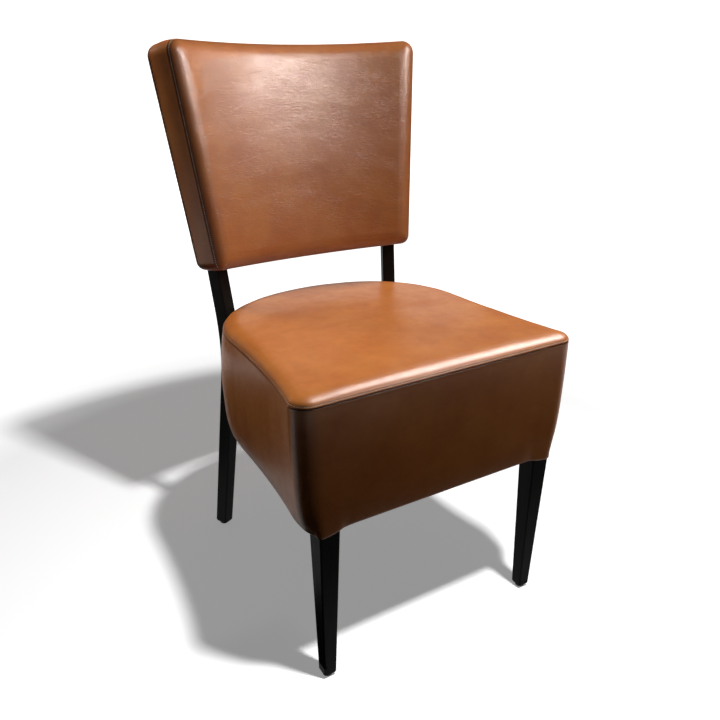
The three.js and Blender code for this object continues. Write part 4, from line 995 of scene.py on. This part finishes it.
def dress(tree, shader, base, layers, reliefs, rough):
    """Give a shader its colour, bump and roughness. Each layer is a value, its low and high, and the
    share, at the high, of a colour over the base. Each relief is a height, its real distance and its
    strength. The roughness is a number, or a value, its low and high and the roughness at both."""
    for value, low, high, share, tint in layers:
        cover = add_node(tree, "ShaderNodeMapRange", {
            "Value": value, "From Min": low, "From Max": high, "To Min": 0.0, "To Max": share}).outputs[0]
        base = add_node(tree, "ShaderNodeMix", {0: cover, 6: base, 7: tint}, data_type="RGBA").outputs[2]
    inputs = {"Base Color": base, "Roughness": rough}
    if isinstance(rough, tuple):
        names = ("Value", "From Min", "From Max", "To Min", "To Max")
        inputs["Roughness"] = add_node(tree, "ShaderNodeMapRange", dict(zip(names, rough))).outputs[0]
    for height, distance, strength in reliefs:
        under = {"Normal": inputs["Normal"]} if "Normal" in inputs else {}
        inputs["Normal"] = add_node(tree, "ShaderNodeBump", {
            "Height": height, "Distance": distance, "Strength": strength, **under}).outputs[0]
    set_inputs(tree, shader, inputs)


def polished_cowhide(colours):
    """Corrected-grain cowhide, dyed, printed with a fine grain and polished: the print breaks its soft
    shine into flecks, the dye is lighter where the hide is stretched and darker in the seams, and
    painted shade darkens the pad's turned edges."""
    material, tree, shader = new_material("cowhide_dyed_and_polished")
    cloud = pattern(tree, "ShaderNodeTexNoise", 60 * MM, Detail=4.0, Roughness=0.55)
    mottle = pattern(tree, "ShaderNodeTexNoise", 9 * MM, (0.6, 0.6, 1.4), Detail=5.0, Roughness=0.6)
    # Grain cells of about 1.6 mm, a little coarser than the print of the real hide, so that they show.
    grain = pattern(tree, "ShaderNodeTexVoronoi", 1.6 * MM, output="Distance")
    creases = pattern(tree, "ShaderNodeTexNoise", 3.0 * MM, (0.3, 0.6, 1.5), Detail=5.0, Roughness=0.6)
    patches = pattern(tree, "ShaderNodeTexNoise", 28 * MM, (0.7, 1, 1.2), Detail=2.0)
    # The seam attribute holds the seams' dye and the painted shade over the pad's turned edges.
    seam, worn = (add_node(tree, "ShaderNodeAttribute", attribute_name=name).outputs["Fac"]
                  for name in ("seam", "creases"))
    creased = add_node(tree, "ShaderNodeMapRange", {
        "Value": patches, "From Min": 0.34, "From Max": 0.6, "To Min": 0.35, "To Max": 1.0}).outputs[0]
    strength = add_node(tree, "ShaderNodeMath", {0: worn, 1: creased}, operation="MULTIPLY").outputs[0]
    dress(tree, shader, colours.leather,
          [(cloud, 0.35, 0.68, 1, colours.leather_light), (mottle, 0.2, 0.8, 0.24, colours.leather_deep_and_painted_shade),
           (seam, 0, 1, 0.85, colours.leather_deep_and_painted_shade)],
          [(creases, 0.5 * MM, strength), (grain, 0.12 * MM, 0.55)], (mottle, 0.3, 0.75, 0.29, 0.38))
    shader.inputs["Specular IOR Level"].default_value = 0.8
    return material


def sewing_thread(colours):
    """Bonded polyester thread, twisted: fine slanting strands, hardly any shine."""
    material, tree, shader = new_material("thread_bonded_polyester")
    strands = pattern(tree, "ShaderNodeTexNoise", 0.4 * MM, Detail=2.0)
    dress(tree, shader, colours.thread, [(strands, 0.35, 0.65, 0.35, colours.leather_deep_and_painted_shade)],
          [(strands, 0.1 * MM, 0.5)], 0.6)
    return material


def stained_beech(colours):
    """Beech, planed, stained near-black and lacquered satin: short dark pores run up the leg."""
    material, tree, shader = new_material("beech_stained_and_lacquered")
    pores = pattern(tree, "ShaderNodeTexNoise", 2.2 * MM, (1, 1, 0.05), Detail=4.0, Roughness=0.7)
    tone = pattern(tree, "ShaderNodeTexNoise", 40 * MM, (1, 1, 0.25), Detail=2.0)
    dress(tree, shader, colours.stain,
          [(pores, 0.42, 0.7, 1, colours.stain_pores), (tone, 0.4, 0.75, 0.35, linear("1C1714"))],
          [(pores, 0.08 * MM, 0.5)], (pores, 0.3, 0.75, 0.4, 0.55))
    shader.inputs["Specular IOR Level"].default_value = 0.12
    return material


def bare_wood(name, shade, grain_size, stretch, peeled=False):
    """Bare wood, matt, with its grain along the piece. Sawn and planed it shows no more than that, and
    peeled for plywood it has fine bands too."""
    material, tree, shader = new_material(name)
    dark = [DARK_GRAIN * c for c in shade[:3]] + [1.0]
    grain = pattern(tree, "ShaderNodeTexNoise", grain_size, stretch, Detail=5.0, Roughness=0.6)
    layers = [(grain, 0.38, 0.68, 1, dark)]
    if peeled:
        bands = pattern(tree, "ShaderNodeTexWave", 1.6 * MM, output="Fac", Distortion=0.6)
        layers.append((bands, 0.3, 0.7, 0.3, dark))
    dress(tree, shader, shade, layers, [(grain, 0.15 * MM, 0.5)], 0.68)
    return material


def cut_foam(colours):
    """Polyurethane foam, cut from a block: open cells that scatter light and don't shine."""
    material, tree, shader = new_material("foam_polyurethane_cut")
    cells = pattern(tree, "ShaderNodeTexVoronoi", 1.4 * MM, output="Distance")
    dress(tree, shader, colours.foam, [(cells, 0.1, 0.8, 1, linear("B9A974"))],
          [(cells, 0.5 * MM, 0.8)], 0.95)
    return material


def carded_wadding(colours):
    """Polyester wadding, carded: a loose mat of long fibres, white and matt."""
    material, tree, shader = new_material("wadding_polyester_carded")
    fibres = pattern(tree, "ShaderNodeTexNoise", 1.2 * MM, (0.2, 0.2, 1), Detail=6.0, Roughness=0.75)
    dress(tree, shader, colours.wadding, [(fibres, 0.35, 0.7, 1, linear("BDBBB4"))],
          [(fibres, 0.6 * MM, 0.8)], 1.0)
    return material


def woven_webbing(colours):
    """Elastic webbing, woven over rubber: coarse ribs across the strap with threads between them."""
    material, tree, shader = new_material("webbing_elastic_woven")
    # The bands of a wave texture lie 0.31 of its size apart, so these ribs are 5 mm apart.
    warp, weft = (pattern(tree, "ShaderNodeTexWave", 16 * MM, stretch, output="Fac")
                  for stretch in ((1, 0, 0), (0, 1, 0)))
    weave = add_node(tree, "ShaderNodeMath", {0: warp, 1: weft}, operation="MULTIPLY").outputs[0]
    dress(tree, shader, linear("1F1D1B"), [(weave, 0.1, 0.8, 1, colours.webbing)],
          [(weave, 0.4 * MM, 0.8)], 0.85)
    return material


def spunbonded_cloth(colours):
    """Spun-bonded polypropylene, pressed with a grid of small dimples: dull black with a faint gleam."""
    material, tree, shader = new_material("dust_cloth_spunbonded")
    dimples = pattern(tree, "ShaderNodeTexVoronoi", 2.4 * MM, output="Distance", Randomness=0.15)
    fibres = pattern(tree, "ShaderNodeTexNoise", 0.9 * MM, Detail=4.0)
    pressed = add_node(tree, "ShaderNodeMapRange",
                       {"Value": dimples, "From Min": 0.1, "From Max": 0.3}).outputs[0]
    dress(tree, shader, linear("0E0E10"),
          [(pressed, 0, 1, 1, colours.dust_cloth), (fibres, 0.4, 0.7, 0.5, linear("2B2B2E"))],
          [(pressed, 0.2 * MM, 0.8)], 0.75)
    return material


def plated_steel(colours):
    """Mild steel, drawn and zinc plated: bluish, with a fine cloudy spangle."""
    material, tree, shader = new_material("steel_zinc_plated")
    spangle = pattern(tree, "ShaderNodeTexVoronoi", 1.5 * MM, output="Color")
    cloud = pattern(tree, "ShaderNodeTexNoise", 3 * MM, Detail=3.0)
    grey = add_node(tree, "ShaderNodeMix", {0: 0.08, 6: colours.steel, 7: spangle}, data_type="RGBA")
    dress(tree, shader, grey.outputs[2], [], [(cloud, 0.05 * MM, 0.4)], (cloud, 0.3, 0.7, 0.25, 0.42))
    shader.inputs["Metallic"].default_value = 1.0
    return material


def moulded_nylon(colours):
    """Nylon, injection moulded: waxy and grey, scuffed where it slides on the floor."""
    material, tree, shader = new_material("nylon_moulded")
    scuffs = pattern(tree, "ShaderNodeTexNoise", 1.2 * MM, (1, 0.2, 1), Detail=4.0)
    dress(tree, shader, colours.nylon, [(scuffs, 0.5, 0.75, 0.5, linear("8D8882"))],
          [(scuffs, 0.06 * MM, 0.5)], (scuffs, 0.35, 0.7, 0.4, 0.65))
    return material


def planed_beech(colours):
    return bare_wood("beech_planed", tuple(colours.beech), 2.5 * MM, (0.15, 1, 1))


def bent_plywood(colours):
    return bare_wood("plywood_bent", tuple(colours.plywood), 3 * MM, (1, 1, 0.12), peeled=True)


# The record's material slots, and the sewing thread.
FINISHES = {
    "leather": polished_cowhide, "thread": sewing_thread, "stained_wood": stained_beech,
    "frame_wood": planed_beech, "plywood": bent_plywood, "foam": cut_foam, "wadding": carded_wadding,
    "webbing": woven_webbing, "dust_cloth": spunbonded_cloth, "steel": plated_steel,
    "glide_plastic": moulded_nylon,
}
MATERIALS = {}


def material_named(kind):
    """The material of one of the finishes, made when first asked for."""
    if kind not in MATERIALS:
        MATERIALS[kind] = FINISHES[kind](bpy.context.scene.chair_colours)
    return MATERIALS[kind]


# Operators

class CHAIR_OT_seat_cover(Operator):
    """Make the leather top and skirt of the seat"""

    bl_idname = "chair.seat_cover"
    bl_label = "Make Seat Cover"

    def execute(self, context):
        sizes = context.scene.chair_sizes
        leather = material_named("leather")
        top = make_cover("seat_top", seat_panel(sizes), sizes, leather)
        settle(top, "leather", "seat_cover_top")
        settle(make_seat_skirt(sizes, leather), "leather", "seat_cover_skirt")
        return {"FINISHED"}


class CHAIR_OT_seat_fill(Operator):
    """Make the foam and the wadding inside the seat cover"""

    bl_idname = "chair.seat_fill"
    bl_label = "Make Seat Filling"

    def execute(self, context):
        sizes = context.scene.chair_sizes
        foam = make_seat_cushion(sizes, material_named("foam"))
        settle(foam, "foam", "seat_foam")
        wadding = make_skirt_wadding(sizes, material_named("wadding"))
        settle(wadding, "wadding", "skirt_padding")
        return {"FINISHED"}


class CHAIR_OT_back_cover(Operator):
    """Make the leather front, side strip and rear of the back pad"""

    bl_idname = "chair.back_cover"
    bl_label = "Make Back Cover"

    def execute(self, context):
        sizes = context.scene.chair_sizes
        leather = material_named("leather")
        front = make_cover("back_front", pad_panel(sizes), sizes, leather)
        settle(front, "leather", "back_cover_front")
        rear = make_cover("back_rear", pad_panel(sizes, rear=True), sizes, leather)
        settle(rear, "leather", "back_cover_rear")
        settle(make_boxing(sizes, leather), "leather", "back_cover_boxing")
        return {"FINISHED"}


class CHAIR_OT_back_fill(Operator):
    """Make the two layers of foam inside the back pad"""

    bl_idname = "chair.back_fill"
    bl_label = "Make Back Filling"

    def execute(self, context):
        sizes = context.scene.chair_sizes
        foam = material_named("foam")
        front = make_back_cushion("back_cushion_front", pad_panel(sizes), sizes,
                                  PLYWOOD_FRONT - FIT_GAP, foam)
        settle(front, "foam", "back_foam_front")
        rear = make_back_cushion("back_cushion_rear", pad_panel(sizes, rear=True), sizes,
                                 PLYWOOD_BACK + FIT_GAP, foam)
        cut(rear, *POSTS, "back_rail_top", "back_rail_lower")
        settle(rear, "foam", "back_foam_rear")
        return {"FINISHED"}


class CHAIR_OT_stitches(Operator):
    """Sew a row of stitches beside each seam"""

    bl_idname = "chair.stitches"
    bl_label = "Sew Stitches"

    def execute(self, context):
        sizes = context.scene.chair_sizes
        tree = row_tree("stitch_row", stitch_values(sizes, sizes.thread), one_stitch)
        panels = {"seat_stitches": seat_panel(sizes), "back_front_stitches": pad_panel(sizes),
                  "back_rear_stitches": pad_panel(sizes, rear=True)}
        for name, panel in panels.items():
            values = stitch_values(sizes, panel.thread)
            row = lay_row(name, tree, groove_path(panel, sizes), values, material_named("thread"))
            settle(row, "leather")
        return {"FINISHED"}


class CHAIR_OT_dust_cover(Operator):
    """Staple a cloth under the seat"""

    bl_idname = "chair.dust_cover"
    bl_label = "Make Dust Cover"

    def execute(self, context):
        sizes = context.scene.chair_sizes
        stations = seat_stations(sizes)
        flats = seat_ring(stations, skirt_inset(1, SKIRT_ROLL + SKIRT_HEM + FIT_GAP))
        base = SKIRT_FOOT - SKIRT_ROLL - DUST_DROP

        def surface(flat, z=base):
            share = min((flat - Vector((0, SEAT_DEPTH / 2))).length / (SEAT_DEPTH / 2), 1)
            sag = DUST_SAG * (1 - share ** 2) + undulation((flat.x, flat.y, z), *DUST_WAVE)
            return in_row(flat.x, flat.y, z - max(sag, 0))

        skin = Skin()
        levels = (base, base + sizes.dust_cover)
        rims = [skin.ring([surface(flat, z) for flat in flats]) for z in levels]
        skin.bands(rims)
        for rim, z in zip(rims, levels):
            skin.fill(rim, flats, lambda flat: surface(flat, z), seat_counts(sizes), flip=z == base)
        cloth = skin.object("dust_cloth_panel", material_named("dust_cloth"))
        cut(cloth, "front_leg_left", "front_leg_right")
        settle(cloth, "dust_cloth", "dust_cover")
        values = {"Pitch": sizes.staple_pitch, "Length": STAPLE_LENGTH, "Thickness": STAPLE_WIRE}
        flats = seat_ring(stations, skirt_inset(1, SKIRT_ROLL + SKIRT_HEM + STAPLE_SETBACK))
        staples = lay_row("dust_cover_staples", row_tree("staple_row", values, one_staple),
                          [surface(flat) for flat in flats], values, material_named("steel"))
        settle(staples, "steel")
        return {"FINISHED"}


class CHAIR_OT_finishes(Operator):
    """Give every CAD piece that still shows the finish of its material"""

    bl_idname = "chair.finishes"
    bl_label = "Finish the Frame"

    def execute(self, context):
        for part in frame["record"]["subparts"]:
            piece = frame["nodes"][part["node"]]
            for slot in piece.material_slots:
                slot.material = material_named(part["material_slot"])
        return {"FINISHED"}


class CHAIR_OT_stage(Operator):
    """Set up the floor, the studio light and the camera round the finished chair"""

    bl_idname = "chair.stage"
    bl_label = "Set the Stage"

    def execute(self, context):
        make_floor(context)
        make_flags()
        make_tent()
        make_lights(context)
        make_camera(context)
        return {"FINISHED"}


# Stage

FLOOR_RADIUS = 7.0
FLOOR_SHARES = (0.1, 0.2, 0.35, 0.55, 0.8, 1)
WALL_HEIGHT = 5.0
COVE = 1.5
COVE_STEPS = 8
GLOW_START = 0.86
GLOW_END = 1.5
GLOW_NEAR = 0.285
DIM_GROUND = (0.08, 0.08, 0.08, 1)
TENT_RADIUS = 2.6
TENT_STEPS = 12
TENT_DARK = 0.02
TENT_LIGHT = 0.06
CAMERA_PLACE = Vector((-580.9, -982.06, 870.8)) * MM
CAMERA_TARGET = Vector((-11.9, -39.16, 402.5)) * MM
CAMERA_ROLL = math.radians(0.1)
CAMERA_LENS = 36.11
SENSOR_WIDTH = 36.0

# Each lamp's power is in watts and its spread in degrees, where that isn't 180. One that isn't mirrored,
# or doesn't light matt surfaces, says so. It lights all but the floor, unless "on" names another group.
LAMPS = {
    "key_light": {"place": (0.20, -0.85, 2.30), "target": (0, 0, 0.35), "size": (0.14, 0.14), "power": 58.0,
                  "on": "floor_only"},
    "softbox": {"place": (1.10, -0.05, 2.00), "target": (0, 0, 0.5), "size": (0.8, 1.4), "power": 66.0,
                "mirrored": False},
    "softbox_shine": {"place": (1.08, -0.05, 1.97), "target": (0, 0, 0.5), "size": (0.8, 1.4),
                      "power": 44.0, "matt": False, "on": "seat_only"},
    "shine_light": {"place": (0.92, -1.15, 1.65), "target": (0, 0.25, 1.0), "size": (0.5, 0.42),
                    "power": 3.1, "spread": 60, "matt": False},
    "sheen_light": {"place": (1.08, 1.92, 0.98), "target": (0.1, 0.1, 0.48), "size": (1.4, 0.6),
                    "power": 2.0},
    "front_fill": {"place": (0.90, -1.10, 0.75), "target": (0.05, -0.25, 0.25), "size": (0.4, 0.4),
                   "power": 0.4, "spread": 70, "mirrored": False},
    "rear_fill": {"place": (-0.9, 1.60, 1.4), "target": (-0.1, 0.15, 0.7), "size": (0.8, 0.8),
                  "power": 16.0, "mirrored": False},
    "edge_light": {"place": (-0.80, 1.10, 1.35), "target": (-0.22, 0.22, 0.92), "size": (0.3, 0.3),
                   "power": 1.1, "spread": 50, "mirrored": False},
    "pad_fill": {"place": (-0.10, -1.40, 1.35), "target": (0.28, 0.2, 0.95), "size": (0.3, 0.3),
                 "power": 0.36, "spread": 50, "mirrored": False},
}

# Each black card's centre and size. The last would darken the floor under it, so it is only mirrored.
FLAG_HEIGHT = 0.02
FLAGS = (((0.55, -0.95), (1.5, 1.1)), ((-0.85, -0.75), (1.3, 1.3)), ((-1.1, 1.9), (1.8, 1.2)),
         ((-0.85, 0.66), (1.2, 0.75)))


def circle(radius, z, count):
    angles = [2 * math.pi * k / count for k in range(count)]
    return [Vector((radius * math.cos(a), radius * math.sin(a), z)) for a in angles]


def make_floor(context):
    """A pale floor that turns up into a round backdrop, far from the chair on every side. It glows for
    the camera and in mirrors, less near the chair, and lights the chair itself hardly at all."""
    turns = [QUARTER * k / COVE_STEPS for k in range(1, COVE_STEPS + 1)]
    profile = [(FLOOR_RADIUS * share, 0.0) for share in FLOOR_SHARES]
    profile += [(FLOOR_RADIUS + COVE * math.sin(turn), COVE * (1 - math.cos(turn))) for turn in turns]
    profile.append((FLOOR_RADIUS + COVE, WALL_HEIGHT))
    skin = Skin()
    rings = [skin.ring(circle(radius, z, 96)) for radius, z in profile]
    skin.bands(rings[::-1])
    skin.faces.append(tuple(rings[0]))
    material, tree, shader = new_material("backdrop_paper", "ShaderNodeAddShader")
    rays = add_node(tree, "ShaderNodeLightPath").outputs
    seen = rays["Is Camera Ray"]
    for ray in ("Is Glossy Ray", "Is Transmission Ray"):
        seen = add_node(tree, "ShaderNodeMath", {0: seen, 1: rays[ray]}, operation="MAXIMUM").outputs[0]
    place_at = add_node(tree, "ShaderNodeTexCoord").outputs["Object"]
    away = add_node(tree, "ShaderNodeVectorMath", {0: place_at}, operation="LENGTH").outputs["Value"]
    glow = add_node(tree, "ShaderNodeMapRange", {
        "Value": away, "From Min": GLOW_START, "From Max": GLOW_END, "To Min": GLOW_NEAR, "To Max": 1.0})
    strength = add_node(tree, "ShaderNodeMath", {0: seen, 1: glow.outputs[0]}, operation="MULTIPLY")
    bright = add_node(tree, "ShaderNodeEmission", {"Color": (1, 1, 1, 1), "Strength": strength.outputs[0]})
    paper = add_node(tree, "ShaderNodeBsdfDiffuse", {"Color": context.scene.chair_colours.floor})
    dim = add_node(tree, "ShaderNodeBsdfDiffuse", {"Color": DIM_GROUND})
    ground = add_node(tree, "ShaderNodeMixShader",
                      {0: rays["Is Camera Ray"], 1: dim.outputs[0], 2: paper.outputs[0]})
    set_inputs(tree, shader, {0: ground.outputs[0], 1: bright.outputs[0]})
    skin.object("floor_and_backdrop", material)


def aim(thing, target, roll=0.0):
    direction = target - thing.location
    turn = direction.to_track_quat("-Z", "Y").to_matrix() @ Matrix.Rotation(roll, 3, "Z")
    thing.rotation_euler = turn.to_euler()


def make_lamp(name, plan):
    lamp = bpy.data.lights.new(name, "AREA")
    lamp.shape = "RECTANGLE"
    lamp.size, lamp.size_y = plan["size"]
    lamp.energy = plan["power"]
    lamp.spread = math.radians(plan.get("spread", 180))
    light = new_object(name, lamp)
    light.location = plan["place"]
    aim(light, Vector(plan["target"]))
    light.visible_glossy = plan.get("mirrored", True)
    light.visible_diffuse = plan.get("matt", True)
    return light


def light_group(name, pieces, state):
    """A group that lets a lamp light only these pieces, or everything but them."""
    group = bpy.data.collections.new(name)
    for piece in pieces:
        group.objects.link(bpy.data.objects[piece])
    for member in group.collection_objects:
        member.light_linking.link_state = state
    return group


def make_lights(context):
    """A small key lamp draws the shadow on the floor, and the other lamps and the tent light the chair.
    The groups hold pieces of the chair, so the chair is made first."""
    groups = {name: light_group(name, pieces, state) for name, pieces, state in (
        ("floor_only", ["floor_and_backdrop"], "INCLUDE"),
        ("all_but_floor", ["floor_and_backdrop"], "EXCLUDE"),
        ("seat_only", ["seat_top", "seat_skirt", "seat_stitches"], "INCLUDE"))}
    for name, plan in LAMPS.items():
        lamp = make_lamp(name, plan)
        lamp.light_linking.receiver_collection = groups[plan.get("on", "all_but_floor")]
    world = bpy.data.worlds.new("studio")
    world.use_nodes = True
    context.scene.world = world
    tree = world.node_tree
    tree.nodes.clear()
    sky = add_node(tree, "ShaderNodeBackground", {"Color": (1, 1, 1, 1), "Strength": 1.0})
    add_node(tree, "ShaderNodeOutputWorld", {"Surface": sky.outputs[0]})


def make_tent():
    """A dim round tent that the camera looks through. It is what the leather mirrors, a little lighter
    behind the chair than in front."""
    skin = Skin()
    turns = [QUARTER * k / TENT_STEPS for k in range(TENT_STEPS)]
    rings = [skin.ring(circle(TENT_RADIUS * math.cos(turn), TENT_RADIUS * math.sin(turn) + MM, 48))
             for turn in turns]
    skin.bands(rings)
    skin.faces.append(tuple(rings[-1]))
    material, tree, shader = new_material("tent_cloth", "ShaderNodeEmission")
    place_at = add_node(tree, "ShaderNodeTexCoord").outputs["Object"]
    parts = add_node(tree, "ShaderNodeSeparateXYZ", {0: place_at})
    level = add_node(tree, "ShaderNodeMapRange", {
        "Value": parts.outputs["Y"], "From Min": -0.4 * TENT_RADIUS, "From Max": TENT_RADIUS,
        "To Min": TENT_DARK, "To Max": TENT_LIGHT}).outputs[0]
    set_inputs(tree, shader, {"Strength": level})
    tent = skin.object("studio_tent", material)
    tent.visible_camera = False
    tent.visible_shadow = False


def make_flags():
    """Black cards over the floor, which the camera looks through, keep its white out of the leather."""
    material, tree, shader = new_material("card_black")
    set_inputs(tree, shader, {"Base Color": linear("0A0A0A"), "Roughness": 1.0, "Specular IOR Level": 0.0})
    for number, (centre, size) in enumerate(FLAGS, 1):
        corners = [Vector((centre[0] + x * size[0] / 2, centre[1] + y * size[1] / 2, FLAG_HEIGHT))
                   for x, y in ((-1, -1), (1, -1), (1, 1), (-1, 1))]
        skin = Skin()
        skin.faces.append(tuple(skin.ring(corners)))
        card = skin.object(f"black_flag_{number}", material)
        card.visible_camera = False
        card.visible_shadow = False
        card.visible_diffuse = number < len(FLAGS)


def make_camera(context):
    lens = bpy.data.cameras.new("camera")
    lens.lens = CAMERA_LENS
    lens.sensor_fit = "HORIZONTAL"
    lens.sensor_width = SENSOR_WIDTH
    camera = new_object("camera", lens)
    camera.location = CAMERA_PLACE
    aim(camera, CAMERA_TARGET, CAMERA_ROLL)
    context.scene.camera = camera
    context.scene.view_settings.view_transform = "Standard"


class CHAIR_PT_panel(Panel):
    """Lists the steps of making the chair"""

    bl_idname = "CHAIR_PT_panel"
    bl_label = "Parsons Chair"
    bl_space_type = "VIEW_3D"
    bl_region_type = "UI"
    bl_category = "Chair"

    def draw(self, context):
        for step in STEPS:
            self.layout.operator(step.bl_idname)
        for group in (context.scene.chair_sizes, context.scene.chair_colours):
            for name in group.__annotations__:
                self.layout.prop(group, name)


STEPS = (CHAIR_OT_seat_cover, CHAIR_OT_seat_fill, CHAIR_OT_back_cover, CHAIR_OT_back_fill, CHAIR_OT_stitches,
         CHAIR_OT_dust_cover, CHAIR_OT_finishes, CHAIR_OT_stage)
CLASSES = (ChairSizes, ChairColours, *STEPS, CHAIR_PT_panel)


def register():
    for cls in CLASSES:
        bpy.utils.register_class(cls)
    bpy.types.Scene.chair_sizes = PointerProperty(type=ChairSizes)
    bpy.types.Scene.chair_colours = PointerProperty(type=ChairColours)


def unregister():
    del bpy.types.Scene.chair_colours
    del bpy.types.Scene.chair_sizes
    for cls in reversed(CLASSES):
        bpy.utils.unregister_class(cls)


def main():
    register()
    bpy.ops.chair.seat_cover()
    bpy.ops.chair.seat_fill()
    bpy.ops.chair.back_cover()
    bpy.ops.chair.back_fill()
    bpy.ops.chair.stitches()
    bpy.ops.chair.dust_cover()
    bpy.ops.chair.finishes()
    bpy.ops.chair.stage()


if __name__ == "__main__":
    main()
